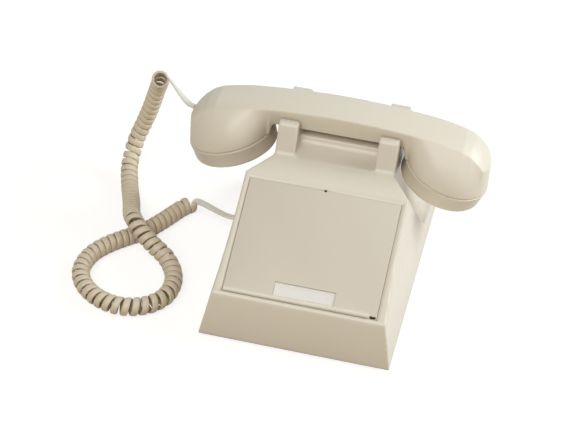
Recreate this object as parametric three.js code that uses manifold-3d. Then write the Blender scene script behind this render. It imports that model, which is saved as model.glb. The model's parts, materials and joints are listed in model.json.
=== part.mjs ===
// Corded desk telephone with a blank sloping faceplate, a handset across a four-eared cradle
// and a curly handset cord. Millimetres, +Z up, +Y to the rear. The origin is on the desk under
// the middle of the handset, across, and of the base, front to back.
import * as THREE from 'three';
import { mergeVertices } from 'three/addons/utils/BufferGeometryUtils.js';
import Module from 'manifold-3d';

const wasm = await Module();
wasm.setup();

// ---------------------------------------------------------------------------
// Driving dimensions
// ---------------------------------------------------------------------------

// Clearances
const SEAT_GAP = 0.3; // between two pieces that touch
const SLIDE_GAP = 0.3; // round a sliding or turning piece
const CUT_MARGIN = 20; // how far a cutting shape runs past what it cuts

// Base housing
const BASE_X = 2.3; // the base's middle plane stands this far right of the handset's middle
const HOUSING_HALF_WIDTH = 72.5; // at the lower rim
const HOUSING_HALF_LENGTH = 102.5; // at the lower rim
const HOUSING_WALL = 3;
const RIM_Z = 4; // lower rim above the desk
const FLANK_LEAN_FRONT = 0.205; // inward lean of a flank at the front, per mm of height
const FLANK_LEAN_REAR = 0.0; // and at the rear
const FRONT_LEAN = 0.149; // backward lean of the front face, per mm of height
const REAR_LEAN = 0.22; // forward lean of the rear wall, per mm of height
const LIP_Z = 41; // top of the front face
const LIP_ROUND = 2.2;
const LIP_RUN = 2; // the rounded lip's depth and rise up to the slope
const LIP_RISE = 1;
const FACE_SLOPE = THREE.MathUtils.degToRad(31.5);
const FACE_DEPTH = 83; // front lip to ledge, measured along Y
const LEDGE_RISE = 2.2; // the ledge climbs this much towards the ears

// Cradle
const CRADLE_Y = 44; // middle of the handle
const EAR_FOOT_AHEAD = 31; // from the middle of the handle forward to where the front ears rise
const EAR_TOP_Z = 118;
const EAR_INNER_X = 31;
const EAR_OUTER_X = 46.4;
const EAR_LEAN = 8.5; // how far the ear's front face leans back
const EAR_ROUND = 2.4;
const EAR_TOP_BEHIND = 31.5; // from the middle of the handle back to the rear ears' top
const EAR_REAR_FLARE = 7; // the rear ears' back leans out by this much down to the neck
const CRADLE_SIDE_GAP = 0.8; // between the handle's lower edges and the ears
const CRADLE_SPREAD = 1.9; // the cradle opens upwards by this much on each side
const NECK_Z = 95; // foot of the ears
const CROSSBAR_Z = 104; // top of the bar between the ears
const CROSSBAR_AHEAD = 14; // from the middle of the handle to the bar's front edge
const CROSSBAR_BEHIND = 16; // and to its rear edge
const GRIP_FLOOR_Z = 80; // floor of the carrying recess behind the bar
const GRIP_DEPTH = 20;
const SHOULDER_LOW_Z = 31; // lowest point of the shoulder edge, under the ear pieces
const SHOULDER_REAR_Z = 23; // the same edge at the rear wall
const SHOULDER_CURVE = 1.15; // how the edge flattens towards its lowest point

// Faceplate
const PLATE_INSET = 14.9; // from the lower rim's half width to the plate's edge
const PLATE_START = 1; // lower edge, up the slope from the lip
const PLATE_LENGTH = 91.3;
const PLATE_THICKNESS = 1.9;
const PLATE_SEAT = 5; // width of the ledge that carries the plate
const PLATE_CHAMFER = 0.8; // bevel of the frame round the plate
const BEAD_WIDTH = 3.2;
const BEAD_HEIGHT = 1.3;
const BEAD_RIGHT_STOP = 5.5; // the bead ends this far from the plate's right edge
const RELEASE_HOLE_RADIUS = 1.1;
const RELEASE_HOLE_OUT = 0.3; // the hole's middle lies this far past the plate's upper edge
const RELEASE_HOLE_DEPTH = 6;
const CARD_CENTER_X = 2.2;
const CARD_CENTER_UP = 10.4; // up the slope from the lip
const CARD_WIDTH = 45;
const CARD_HEIGHT = 9.8;
const CARD_THICKNESS = 0.4;
const WINDOW_THICKNESS = 0.6;

// Base plate, feet and screws
const PLATE_UNDER_Z = 5.5;
const BASE_PLATE_THICKNESS = 1.5;
const BASE_PLATE_GAP = 0.5; // to the housing walls
const FOOT_RADIUS = 7;
const FOOT_STEM_RADIUS = 2.6;
const FOOT_HEAD_RADIUS = 3.9;
const FOOT_INSET_X = 18.5; // from the lower rim
const FOOT_INSET_FRONT = 28.5;
const FOOT_INSET_REAR = 24.5;
const SCREW_RADIUS = 1.75;
const SCREW_HEAD_RADIUS = 3.4;
const SCREW_HEAD_HEIGHT = 2;
const SCREW_LENGTH = 12;
const BOSS_RADIUS = 4.6;
const BOSS_INSET_X = 11.5; // from the lower rim
const BOSS_INSET_FRONT = 13.5;
const BOSS_INSET_REAR = 16.5;
const BOSS_TOP_Z = 24;

// Modular jacks and plugs
const JACK_WIDTH = 13;
const JACK_HEIGHT = 11;
const JACK_DEPTH = 11;
const SOCKET_DEPTH = 9;
const PLUG_WIDTH = 7.7;
const PLUG_HEIGHT = 6.6;
const PLUG_TAIL = 3.4; // how far the plug stands out of its jack
const LINE_SOCKET_WIDTH = 9.7;
const LATCH_WIDTH = 3;
const LATCH_HEIGHT = 1.2;
const BASE_JACK_Y = 28;
const BASE_JACK_Z = 14.5;
const LINE_JACK_X = 30;
const LINE_JACK_Z = 14.5;

// Hook switch
const PLUNGER_X = 38.7;
const PLUNGER_WIDTH = 8.4;
const PLUNGER_LENGTH = 14.4;
const PLUNGER_SHOULDER_LENGTH = 19;
const PLUNGER_SHOULDER_Z = 93.5;
const PLUNGER_SHOULDER_HEIGHT = 2;
const PLUNGER_NOSE_RADIUS = 2.5;
const LEVER_TOP_Z = 84;
const LEVER_THICKNESS = 2;
const LEVER_HALF_WIDTH = 42;
const LEVER_BAR_LENGTH = 12;
const LEVER_ARM_X = 24;
const LEVER_ARM_WIDTH = 4;
const LEVER_ARM_DEPTH = 7;
const PIVOT_BEHIND = 28; // from the middle of the handle back to the pin
const PIVOT_Z = 72;
const PIN_RADIUS = 1.5;
const EYE_RADIUS = 3.6;
const BRACKET_X = 30; // inner face of each upright
const BRACKET_SHEET = 1.5;
const BRACKET_LENGTH = 16;
const BRACKET_TAPER = 12; // the uprights narrow over this height below the pin
const BRACKET_TIE_Z = 50;
const BRACKET_TIE_HEIGHT = 12;
const BRACKET_TIE_SETBACK = 6; // the tie stands this far in front of the pin
const CONTACT_LEAF_COUNT = 3;
const CONTACT_LEAF_THICKNESS = 0.6;
const CONTACT_LEAF_PITCH = 2.4;
const CONTACT_BLOCK_WIDTH = 12;
const CONTACT_BLOCK_LENGTH = 8;

// Ringer
const RINGER_WIDTH_Y = 20; // front to back under the gongs
const GONG_TO_PIVOT = 46; // from the gongs' line back to the clapper's pivot
const COIL_TO_PIVOT = 21;
const GONG_X = 32;
const GONG_LOW_RADIUS = 25;
const GONG_HIGH_RADIUS = 22.5;
const GONG_HEIGHT = 14;
const GONG_WALL = 1.5;
const GONG_RIM_Z = 27;
const GONG_POST_RADIUS = 3;
const RINGER_SHEET = 2;
const RINGER_HALF_WIDTH = 44;
const RINGER_TONGUE_HALF_WIDTH = 14;
const COIL_RADIUS = 8;
const COIL_CHEEK_RADIUS = 9.5;
const COIL_CHEEK = 1.5;
const COIL_LENGTH = 30;
const CLAPPER_X = 1.2;
const CLAPPER_BALL_RADIUS = 3;
const CLAPPER_ARM_LENGTH = 44;
const CLAPPER_ROD_RADIUS = 1;
const CLAPPER_TO_BRACKET = 6;
const CLAPPER_HUB_RADIUS = 4;
const CLAPPER_HUB_HALF_HEIGHT = 3;
const CLAPPER_PIVOT_RADIUS = 1.5;
const CLAPPER_Z = 32;

// Speech network and volume wheel
const NETWORK_X = -14;
const NETWORK_INSET = 22.5; // from the front of the lower rim to the block
const NETWORK_WIDTH = 62;
const NETWORK_LENGTH = 44;
const NETWORK_HEIGHT = 24;
const TERMINAL_COUNT = 6;
const TERMINAL_RADIUS = 2.4;
const TERMINAL_HEIGHT = 2.2;
const VOLUME_X = 40;
const VOLUME_INSET = 54.5; // from the front of the lower rim
const VOLUME_RADIUS = 11;
const VOLUME_THICKNESS = 3.4;
const VOLUME_TEETH = 18;
const VOLUME_SHAFT_RADIUS = 2.5;
const VOLUME_SHAFT_TOP_Z = 16;

// Handset
const CUP_X = 84.9; // middle of each ear piece
const CUP_RADIUS = 34;
const CUP_SEAM_Z = 87.5; // seam of cup and cap, at the middle of the cup
const CUP_TILT = THREE.MathUtils.degToRad(18); // the caps face each other by this much
const HANDLE_TOP_Z = 126.9;
const HANDLE_BOTTOM_Z = 108.4;
const HANDLE_TOP_HALF_WIDTH = 16.4;
const HANDLE_BOTTOM_HALF_WIDTH = 13;
const HANDLE_STRAIGHT_X = 49; // where the underside starts to curve into a cup
const ARCH_RADIUS = 555;
const CROWN_DROP = 1.4; // the top ribbon is crowned by this much
const CROWN_DROP_END = 4.2; // and by this much over the ends
const CROWN_END_START_X = 70;
const END_SHOULDER_X = 96; // where the ribbon turns down over the end
const END_FACE = [[103, 115.8], [109.5, 110.3], [114, 104.3], [117.3, 98]]; // its path down
const HANDLE_BULGE = 1.6; // how late the handle's side turns in
const CUP_BULGE = 2.2; // how full the cup's flank is
const CUP_BORE_RADIUS = 28.5;
const CUP_BORE_STRAIGHT = 5;
const CUP_BORE_TOP_RADIUS = 16;
const CUP_BORE_HEIGHT = 22;
const CHANNEL_WIDTH = 9;
const CHANNEL_BOTTOM_Z = 111;
const CHANNEL_TOP_Z = 117;
const CAP_HEIGHT = 14.6;
const CAP_FLOOR = 2.6;
const CAP_SPIGOT_WALL = 2;
const CAP_SPIGOT_HEIGHT = 4.5;
const CAP_HOLE_RADIUS = 1.4;
const HOLE_RING_STEP = 8;
const CAPSULE_THICKNESS = 10.5;
const HANDSET_JACK_Z = 92;
const HANDSET_JACK_TURN = THREE.MathUtils.degToRad(22); // round the ear piece, to the rear

// Curly cord
const WIRE_WIDTH = 4.9; // along the curl's axis
const WIRE_THICKNESS = 2.4; // across it
const CURL_OUTER_RADIUS = 7.1;
const CURL_GAP = 0.62; // least space between neighbouring curls
const CURL_START_ANGLE = THREE.MathUtils.degToRad(35); // where the upper lead joins the first curl
const CURL_END_SIDE = [0.85, -0.3, 0.45]; // the lower lead leaves the last curl on this side
const CURL_STEPS = 8;
const LEAD_STEPS = 16;

// Colours
const SHELL_COLOR = 0xcfc6b2;
const TAN_COLOR = 0xc9bda6;
const CORD_COLOR = 0xcdbfa8;
const CARD_COLOR = 0xfbfbf8;
const CLEAR_COLOR = 0xe8ecec;
const STEEL_COLOR = 0xa9abad;
const BRASS_COLOR = 0xc09a4e;
const DARK_COLOR = 0x2b2b2d;
const RUBBER_COLOR = 0x4a4846;
const IVORY_COLOR = 0xe9e4d6;

// ---------------------------------------------------------------------------
// Worked-out sizes
// ---------------------------------------------------------------------------

const FACE_FOOT_Y = -HOUSING_HALF_LENGTH + FRONT_LEAN * (LIP_Z - RIM_Z) + LIP_RUN;
const FACE_FOOT_Z = LIP_Z + LIP_RISE;
const LEDGE_Y = FACE_FOOT_Y + FACE_DEPTH;
const LEDGE_Z = FACE_FOOT_Z + FACE_DEPTH * Math.tan(FACE_SLOPE);
const EAR_FOOT_Y = CRADLE_Y - EAR_FOOT_AHEAD;
const EAR_TOP_REAR_Y = CRADLE_Y + EAR_TOP_BEHIND;
const CROSSBAR_FRONT_Y = CRADLE_Y - CROSSBAR_AHEAD;
const CROSSBAR_REAR_Y = CRADLE_Y + CROSSBAR_BEHIND;
const CRADLE_FLOOR_Z = HANDLE_BOTTOM_Z - SEAT_GAP;
const PLATE_TOP_Z = PLATE_UNDER_Z + BASE_PLATE_THICKNESS;
const FLOOR_TOP_Z = PLATE_TOP_Z + SEAT_GAP; // where inner pieces stand
const CURL_RADIUS = CURL_OUTER_RADIUS - WIRE_THICKNESS / 2;
const PLATE_HALF_WIDTH = HOUSING_HALF_WIDTH - PLATE_INSET;
const PIVOT_Y = CRADLE_Y + PIVOT_BEHIND;
const BRACKET_TIE_Y = PIVOT_Y - BRACKET_TIE_SETBACK;
const CLAPPER_PIVOT_Y = PIVOT_Y - BRACKET_LENGTH / 2 - CLAPPER_TO_BRACKET;
const RINGER_Y = CLAPPER_PIVOT_Y - GONG_TO_PIVOT;
const NETWORK_Y = -HOUSING_HALF_LENGTH + NETWORK_INSET + NETWORK_LENGTH / 2;
const VOLUME_Y = -HOUSING_HALF_LENGTH + VOLUME_INSET;

const flankLean = (y) => THREE.MathUtils.mapLinear(
  y, -HOUSING_HALF_LENGTH, HOUSING_HALF_LENGTH, FLANK_LEAN_FRONT, FLANK_LEAN_REAR);
const flankX = (y, z) => HOUSING_HALF_WIDTH - flankLean(y) * (z - RIM_Z);
const frontY = (z) => -HOUSING_HALF_LENGTH + FRONT_LEAN * (z - RIM_Z);
const rearY = (z) => HOUSING_HALF_LENGTH - REAR_LEAN * (z - RIM_Z);

// ---------------------------------------------------------------------------
// Geometry helpers
// ---------------------------------------------------------------------------

// A closed mesh from points and faces, turned so that its faces point out.
function closedMesh(points, faces) {
  let volume = 0;
  const a = new THREE.Vector3();
  const b = new THREE.Vector3();
  const c = new THREE.Vector3();
  for (const [i, j, k] of faces) {
    a.fromArray(points[i]);
    b.fromArray(points[j]);
    c.fromArray(points[k]);
    volume += a.dot(b.cross(c));
  }
  const outward = volume < 0 ? faces.map(([i, j, k]) => [i, k, j]) : faces;
  const geometry = new THREE.BufferGeometry();
  geometry.setAttribute('position', new THREE.Float32BufferAttribute(points.flat(), 3));
  geometry.setIndex(outward.flat());
  return geometry;
}

// Rings of equally many points, joined in order and closed at both ends.
function loftRings(rings, capOutline) {
  const count = rings[0].length;
  const faces = [];
  for (let r = 0; r + 1 < rings.length; r += 1) {
    for (let i = 0; i < count; i += 1) {
      const next = (i + 1) % count;
      const low = r * count;
      const high = low + count;
      faces.push([low + i, low + next, high + next], [low + i, high + next, high + i]);
    }
  }
  const cap = (outline, offset, flip) => {
    const contour = outline.map(([u, v]) => new THREE.Vector2(u, v));
    for (const [i, j, k] of THREE.ShapeUtils.triangulateShape(contour, [])) {
      faces.push(flip ? [offset + i, offset + k, offset + j] : [offset + i, offset + j, offset + k]);
    }
  };
  const clockwise = THREE.ShapeUtils.isClockWise(
    capOutline[0].map(([u, v]) => new THREE.Vector2(u, v)));
  cap(capOutline[0], 0, !clockwise);
  cap(capOutline[1], (rings.length - 1) * count, clockwise);
  return closedMesh(rings.flat(), faces);
}

// A loft whose sections stand square to one axis: stations are { at, outline }.
const AXIS_POINT = {
  x: (at, u, v) => [at, u, v],
  y: (at, u, v) => [u, at, v],
  z: (at, u, v) => [u, v, at],
};
function loftAlong(axis, stations) {
  const rings = stations.map(({ at, outline }) => outline.map(([u, v]) => AXIS_POINT[axis](at, u, v)));
  return loftRings(rings, [stations[0].outline, stations.at(-1).outline]);
}

const prismAlong = (axis, outline, from, to) => loftAlong(axis, [
  { at: from, outline }, { at: to, outline }]);

function toSolid(geometry) {
  const bare = geometry.clone();
  bare.deleteAttribute('normal');
  bare.deleteAttribute('uv');
  const merged = mergeVertices(bare, 1e-4);
  return new wasm.Manifold(new wasm.Mesh({
    numProp: 3,
    vertProperties: new Float32Array(merged.attributes.position.array),
    triVerts: new Uint32Array(merged.index.array),
  }));
}

function toGeometry(solid) {
  const mesh = solid.getMesh();
  const geometry = new THREE.BufferGeometry();
  geometry.setAttribute('position', new THREE.BufferAttribute(new Float32Array(mesh.vertProperties), 3));
  geometry.setIndex(new THREE.BufferAttribute(new Uint32Array(mesh.triVerts), 1));
  return geometry;
}

const cut = (body, ...tools) => toGeometry(tools.reduce(
  (solid, tool) => solid.subtract(toSolid(tool)), toSolid(body)));
const join = (first, ...others) => toGeometry(others.reduce(
  (solid, other) => solid.add(toSolid(other)), toSolid(first)));
const common = (body, other) => toGeometry(toSolid(body).intersect(toSolid(other)));

// A box given by its lowest and highest corner.
function block(low, high) {
  const size = high.map((value, i) => value - low[i]);
  const middle = high.map((value, i) => (value + low[i]) / 2);
  return new THREE.BoxGeometry(...size).translate(...middle);
}

// A round bar between two heights, standing on (x, y).
function post(x, y, radius, low, high, segments = 16) {
  return new THREE.CylinderGeometry(radius, radius, high - low, segments)
    .rotateX(Math.PI / 2).translate(x, y, (low + high) / 2);
}

// A revolved profile of [radius, height] points about the Z axis through (x, y).
function turned(profile, x = 0, y = 0, segments = 24) {
  const points = profile.map(([r, h]) => new THREE.Vector2(r, h));
  return closeLathe(new THREE.LatheGeometry(points, segments)).rotateX(Math.PI / 2).translate(x, y, 0);
}

function closeLathe(geometry) {
  geometry.deleteAttribute('normal');
  geometry.deleteAttribute('uv');
  const merged = mergeVertices(geometry, 1e-4);
  const index = merged.index.array;
  const faces = [];
  for (let i = 0; i < index.length; i += 3) {
    const face = [index[i], index[i + 1], index[i + 2]];
    if (new Set(face).size === 3) faces.push(face);
  }
  const position = merged.attributes.position;
  const points = Array.from({ length: position.count }, (_, i) => [
    position.getX(i), position.getY(i), position.getZ(i)]);
  return closedMesh(points, faces);
}

const arc = (count, place) => Array.from({ length: count + 1 }, (_, i) => place((i / count) * Math.PI / 2));

const mirrorOutline = (half) => [...half, ...half.slice(1, -1).reverse().map(([u, v]) => [-u, v])];

function named(name, geometry, color, roughness = 0.5, metalness = 0) {
  const material = new THREE.MeshStandardMaterial({ color, roughness, metalness });
  const mesh = new THREE.Mesh(geometry, material);
  mesh.name = name;
  return mesh;
}

function glazed(name, geometry) {
  const mesh = named(name, geometry, CLEAR_COLOR, 0.15);
  mesh.material.transparent = true;
  mesh.material.opacity = 0.35;
  return mesh;
}

// The frame of the sloping face: x across, y up the slope, z out of it.
function onSlope(geometry) {
  return geometry.rotateX(FACE_SLOPE).translate(0, FACE_FOOT_Y, FACE_FOOT_Z);
}

function slopeGroup(...meshes) {
  const group = new THREE.Group();
  group.position.set(0, FACE_FOOT_Y, FACE_FOOT_Z);
  group.rotation.x = FACE_SLOPE;
  group.add(...meshes);
  return group;
}

// ---------------------------------------------------------------------------
// Base housing
// ---------------------------------------------------------------------------

// The housing's side outline with its front lip, slope, ledge, ears and cradle.
function sideOutline() {
  const earBackLow = EAR_TOP_REAR_Y + EAR_REAR_FLARE;
  const earInnerFront = CRADLE_Y - HANDLE_BOTTOM_HALF_WIDTH - CRADLE_SIDE_GAP;
  const earInnerRear = CRADLE_Y + HANDLE_BOTTOM_HALF_WIDTH + CRADLE_SIDE_GAP;
  const earTopFront = EAR_FOOT_Y + EAR_LEAN;
  return [
    [frontY(RIM_Z), RIM_Z],
    [frontY(LIP_Z - LIP_ROUND), LIP_Z - LIP_ROUND],
    [frontY(LIP_Z) + 0.5, LIP_Z + 0.1],
    [FACE_FOOT_Y, FACE_FOOT_Z],
    [LEDGE_Y - 2, LEDGE_Z - 2 * Math.tan(FACE_SLOPE)],
    [LEDGE_Y, LEDGE_Z - 0.4],
    [LEDGE_Y + 3, LEDGE_Z],
    [EAR_FOOT_Y - 1.5, LEDGE_Z + LEDGE_RISE - 0.3],
    [EAR_FOOT_Y + 0.6, LEDGE_Z + LEDGE_RISE + 1.2],
    [earTopFront - 0.9, EAR_TOP_Z - EAR_ROUND],
    [earTopFront, EAR_TOP_Z - EAR_ROUND / 3],
    [earTopFront + EAR_ROUND, EAR_TOP_Z],
    [earInnerFront - CRADLE_SPREAD - 1, EAR_TOP_Z],
    [earInnerFront - CRADLE_SPREAD, EAR_TOP_Z - 1],
    [earInnerFront, CRADLE_FLOOR_Z],
    [earInnerRear, CRADLE_FLOOR_Z],
    [earInnerRear + CRADLE_SPREAD, EAR_TOP_Z - 1],
    [earInnerRear + CRADLE_SPREAD + 1, EAR_TOP_Z],
    [EAR_TOP_REAR_Y - EAR_ROUND, EAR_TOP_Z],
    [EAR_TOP_REAR_Y, EAR_TOP_Z - EAR_ROUND],
    [earBackLow, NECK_Z],
    [rearY(RIM_Z), RIM_Z],
  ];
}

// The space inside, one wall in from the outline and open below.
function innerOutline() {
  const slopeDrop = HOUSING_WALL / Math.cos(FACE_SLOPE);
  const open = RIM_Z - CUT_MARGIN;
  const ceiling = CROSSBAR_Z - HOUSING_WALL;
  const lipZ = LIP_Z - HOUSING_WALL;
  return [
    [frontY(open) + HOUSING_WALL, open],
    [frontY(lipZ) + HOUSING_WALL, lipZ],
    [LEDGE_Y, LEDGE_Z - slopeDrop],
    [EAR_FOOT_Y + HOUSING_WALL, LEDGE_Z + LEDGE_RISE - slopeDrop],
    [EAR_FOOT_Y + EAR_LEAN, ceiling],
    [EAR_TOP_REAR_Y - HOUSING_WALL, ceiling],
    [EAR_TOP_REAR_Y + EAR_REAR_FLARE - HOUSING_WALL - 1, NECK_Z - HOUSING_WALL],
    [rearY(open) - HOUSING_WALL, open],
  ];
}

// Both flanks as one solid, wider below than above and leaning in more at the front.
function flankSolid(inset) {
  const levels = [RIM_Z - CUT_MARGIN, RIM_Z, 34, 64, 95, EAR_TOP_Z + CUT_MARGIN];
  const count = 8;
  const stations = Array.from({ length: count + 1 }, (_, i) => {
    const y = THREE.MathUtils.mapLinear(i, 0, count, -HOUSING_HALF_LENGTH - 1, HOUSING_HALF_LENGTH + 1);
    const right = levels.map((z) => [flankX(y, z) - inset, z]);
    return { at: y, outline: [...right, ...right.map(([x, z]) => [-x, z]).reverse()] };
  });
  return loftAlong('y', stations);
}

// The shoulder edge falls along the flank from the ledge's corner to under the ear piece.
function shoulderZ(y) {
  const t = (y - LEDGE_Y) / (CRADLE_Y - LEDGE_Y);
  if (t <= 1) return SHOULDER_LOW_Z + (LEDGE_Z - SHOULDER_LOW_Z) * (1 - t) ** SHOULDER_CURVE;
  return THREE.MathUtils.mapLinear(y, CRADLE_Y, HOUSING_HALF_LENGTH, SHOULDER_LOW_Z, SHOULDER_REAR_Z);
}

const neckX = (y) => (y >= EAR_FOOT_Y ? EAR_OUTER_X : THREE.MathUtils.mapLinear(
  y, LEDGE_Y, EAR_FOOT_Y, flankX(LEDGE_Y, LEDGE_Z), EAR_OUTER_X));

// What is scooped out of one side under an ear piece: a hollow between the neck and the flank.
function sideScoop(side, grow) {
  const frontSteps = 8;
  const rearSteps = 4;
  const ys = [];
  for (let i = 0; i <= frontSteps; i += 1) {
    ys.push(THREE.MathUtils.lerp(LEDGE_Y + 0.02, CRADLE_Y, i / frontSteps));
  }
  for (let i = 1; i <= rearSteps; i += 1) {
    ys.push(THREE.MathUtils.lerp(CRADLE_Y, HOUSING_HALF_LENGTH + 1, i / rearSteps));
  }
  const reach = HOUSING_HALF_WIDTH + CUT_MARGIN;
  const stations = ys.map((y) => {
    const low = shoulderZ(y) - grow;
    const inner = neckX(y) - grow;
    const outer = flankX(y, shoulderZ(y));
    const top = Math.max(NECK_Z, LEDGE_Z) - grow * 0.5;
    const curve = arc(6, (angle) => [
      outer - (outer - inner) * Math.cos(angle), top - Math.max(top - low, 0.1) * Math.sin(angle)]);
    const outline = [[inner, EAR_TOP_Z + CUT_MARGIN], ...curve, [reach, low], [reach, EAR_TOP_Z + CUT_MARGIN]];
    return { at: y, outline: outline.map(([x, z]) => [side * x, z]) };
  });
  return loftAlong('y', stations);
}

// The concave panel between the front ears, the space over the bar and the carrying recess.
function saddleCut(grow) {
  const frontDepth = CROSSBAR_FRONT_Y - EAR_FOOT_Y;
  const frontDrop = CROSSBAR_Z - (LEDGE_Z + LEDGE_RISE);
  const gripDrop = CROSSBAR_Z - GRIP_FLOOR_Z;
  const gripMiddle = CROSSBAR_REAR_Y + GRIP_DEPTH;
  const front = arc(7, (angle) => [
    EAR_FOOT_Y + (frontDepth + grow) * Math.sin(angle),
    CROSSBAR_Z - (frontDrop + grow) * Math.cos(angle)]);
  const rear = arc(7, (angle) => [
    gripMiddle - (GRIP_DEPTH + grow) * Math.cos(angle),
    CROSSBAR_Z - (gripDrop + grow) * Math.sin(angle)]);
  const top = EAR_TOP_Z + CUT_MARGIN;
  const bar = CROSSBAR_Z - 0.001;
  const outline = [
    [EAR_FOOT_Y - 4, top], [EAR_FOOT_Y - 4, LEDGE_Z + LEDGE_RISE - grow + 0.2], ...front.slice(0, -1),
    [front.at(-1)[0], bar], [rear[0][0], bar], ...rear.slice(1),
    [HOUSING_HALF_LENGTH + 1, GRIP_FLOOR_Z - grow - 1], [HOUSING_HALF_LENGTH + 1, top],
  ];
  const half = EAR_INNER_X + grow;
  return prismAlong('x', outline, -half, half);
}

// The pocket that the faceplate lies in, its bevelled edge and the opening below it.
function facePocket() {
  const half = PLATE_HALF_WIDTH + SEAT_GAP;
  const low = PLATE_START - SEAT_GAP;
  const high = PLATE_START + PLATE_LENGTH + SEAT_GAP;
  const depth = PLATE_THICKNESS + SEAT_GAP;
  const pocket = block([-half, low, -depth], [half, high, CUT_MARGIN]);
  const opening = block(
    [-half + PLATE_SEAT, low + PLATE_SEAT, -CUT_MARGIN], [half - PLATE_SEAT, high - PLATE_SEAT, 1]);
  const rectangle = (spread) => [
    [-half - spread, low], [half + spread, low],
    [half + spread, high + spread], [-half - spread, high + spread]];
  const bevel = loftAlong('z', [
    { at: -PLATE_CHAMFER, outline: rectangle(0) },
    { at: PLATE_CHAMFER, outline: rectangle(2 * PLATE_CHAMFER) }]);
  return onSlope(join(pocket, opening, bevel));
}

// The small hole on the line between the plate's upper edge and its frame.
const releaseHole = () => post(
  0, PLATE_START + PLATE_LENGTH + RELEASE_HOLE_OUT, RELEASE_HOLE_RADIUS,
  -RELEASE_HOLE_DEPTH, RELEASE_HOLE_DEPTH, 10);

// A screw boss in a lower corner, tied to the flank by a web and bored for its screw.
function cornerBoss(x, y) {
  const low = PLATE_TOP_Z + SEAT_GAP;
  const wallX = Math.sign(x) * (flankX(y, BOSS_TOP_Z) - HOUSING_WALL / 2);
  const web = block(
    [Math.min(x, wallX), y - HOUSING_WALL / 2, low], [Math.max(x, wallX), y + HOUSING_WALL / 2, BOSS_TOP_Z]);
  return join(post(x, y, BOSS_RADIUS, low, BOSS_TOP_Z), web);
}

// Four places set in from the lower rim, named for their corners.
function cornerPlaces(name, insetX, insetFront, insetRear) {
  const x = HOUSING_HALF_WIDTH - insetX;
  const front = -HOUSING_HALF_LENGTH + insetFront;
  const rear = HOUSING_HALF_LENGTH - insetRear;
  return {
    [`${name}_front_left`]: [-x, front],
    [`${name}_front_right`]: [x, front],
    [`${name}_rear_left`]: [-x, rear],
    [`${name}_rear_right`]: [x, rear],
  };
}

const SCREW_PLACES = cornerPlaces('housing_screw', BOSS_INSET_X, BOSS_INSET_FRONT, BOSS_INSET_REAR);
const BOSS_PLACES = Object.values(SCREW_PLACES);

function jackPocket() {
  const half = JACK_WIDTH / 2 + SEAT_GAP;
  const rise = JACK_HEIGHT / 2 + SEAT_GAP;
  return block([-half, -rise, -JACK_DEPTH - CUT_MARGIN / 2], [half, rise, CUT_MARGIN / 2]);
}

function housing() {
  const shell = common(
    prismAlong('x', sideOutline(), -HOUSING_HALF_WIDTH - 5, HOUSING_HALF_WIDTH + 5), flankSolid(0));
  const outer = cut(shell, sideScoop(1, 0), sideScoop(-1, 0), saddleCut(0));
  const space = common(
    prismAlong('x', innerOutline(), -HOUSING_HALF_WIDTH, HOUSING_HALF_WIDTH), flankSolid(HOUSING_WALL));
  const inner = cut(
    space, sideScoop(1, HOUSING_WALL), sideScoop(-1, HOUSING_WALL), saddleCut(HOUSING_WALL));
  const hollow = cut(outer, inner);
  const slot = (side) => block(
    [side * PLUNGER_X - PLUNGER_WIDTH / 2 - SLIDE_GAP, CRADLE_Y - PLUNGER_LENGTH / 2 - SLIDE_GAP, NECK_Z],
    [side * PLUNGER_X + PLUNGER_WIDTH / 2 + SLIDE_GAP, CRADLE_Y + PLUNGER_LENGTH / 2 + SLIDE_GAP, EAR_TOP_Z]);
  const bosses = BOSS_PLACES.map(([x, y]) => cornerBoss(x, y));
  const bores = BOSS_PLACES.map(([x, y]) => post(x, y, SCREW_RADIUS + SLIDE_GAP, 0, BOSS_TOP_Z - 2, 10));
  return cut(
    join(hollow, ...bosses), facePocket(), onSlope(releaseHole()), slot(1), slot(-1), ...bores,
    atBaseJack(jackPocket()), atLineJack(jackPocket()));
}

// ---------------------------------------------------------------------------
// Jacks and plugs: local +Z points out of the socket
// ---------------------------------------------------------------------------

const baseJackX = -flankX(BASE_JACK_Y, BASE_JACK_Z + JACK_HEIGHT / 2);
const atBaseJack = (geometry) => geometry.rotateX(Math.PI / 2).rotateZ(-Math.PI / 2)
  .translate(baseJackX, BASE_JACK_Y, BASE_JACK_Z);
const lineJackY = rearY(LINE_JACK_Z + JACK_HEIGHT / 2);
const atLineJack = (geometry) => geometry.rotateX(-Math.PI / 2).rotateY(Math.PI)
  .translate(LINE_JACK_X, lineJackY, LINE_JACK_Z);

// The handset's jack looks out of the left ear piece's rim, towards the rear.
const atHandsetJack = (geometry) => geometry.rotateX(Math.PI / 2).rotateZ(-Math.PI / 2 - HANDSET_JACK_TURN)
  .translate(
    -CUP_X - CUP_RADIUS * Math.cos(CUP_TILT) * Math.cos(HANDSET_JACK_TURN),
    CRADLE_Y + CUP_RADIUS * Math.sin(HANDSET_JACK_TURN), HANDSET_JACK_Z);

function jackBody(socketWidth) {
  const body = block([-JACK_WIDTH / 2, -JACK_HEIGHT / 2, -JACK_DEPTH], [JACK_WIDTH / 2, JACK_HEIGHT / 2, 0]);
  const half = socketWidth / 2 + SEAT_GAP;
  const rise = PLUG_HEIGHT / 2 + SEAT_GAP;
  const socket = block([-half, -rise, -SOCKET_DEPTH], [half, rise, CUT_MARGIN]);
  const keyway = block(
    [-LATCH_WIDTH / 2 - SEAT_GAP, -rise - LATCH_HEIGHT, -SOCKET_DEPTH],
    [LATCH_WIDTH / 2 + SEAT_GAP, rise, CUT_MARGIN]);
  return cut(body, socket, keyway);
}

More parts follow.
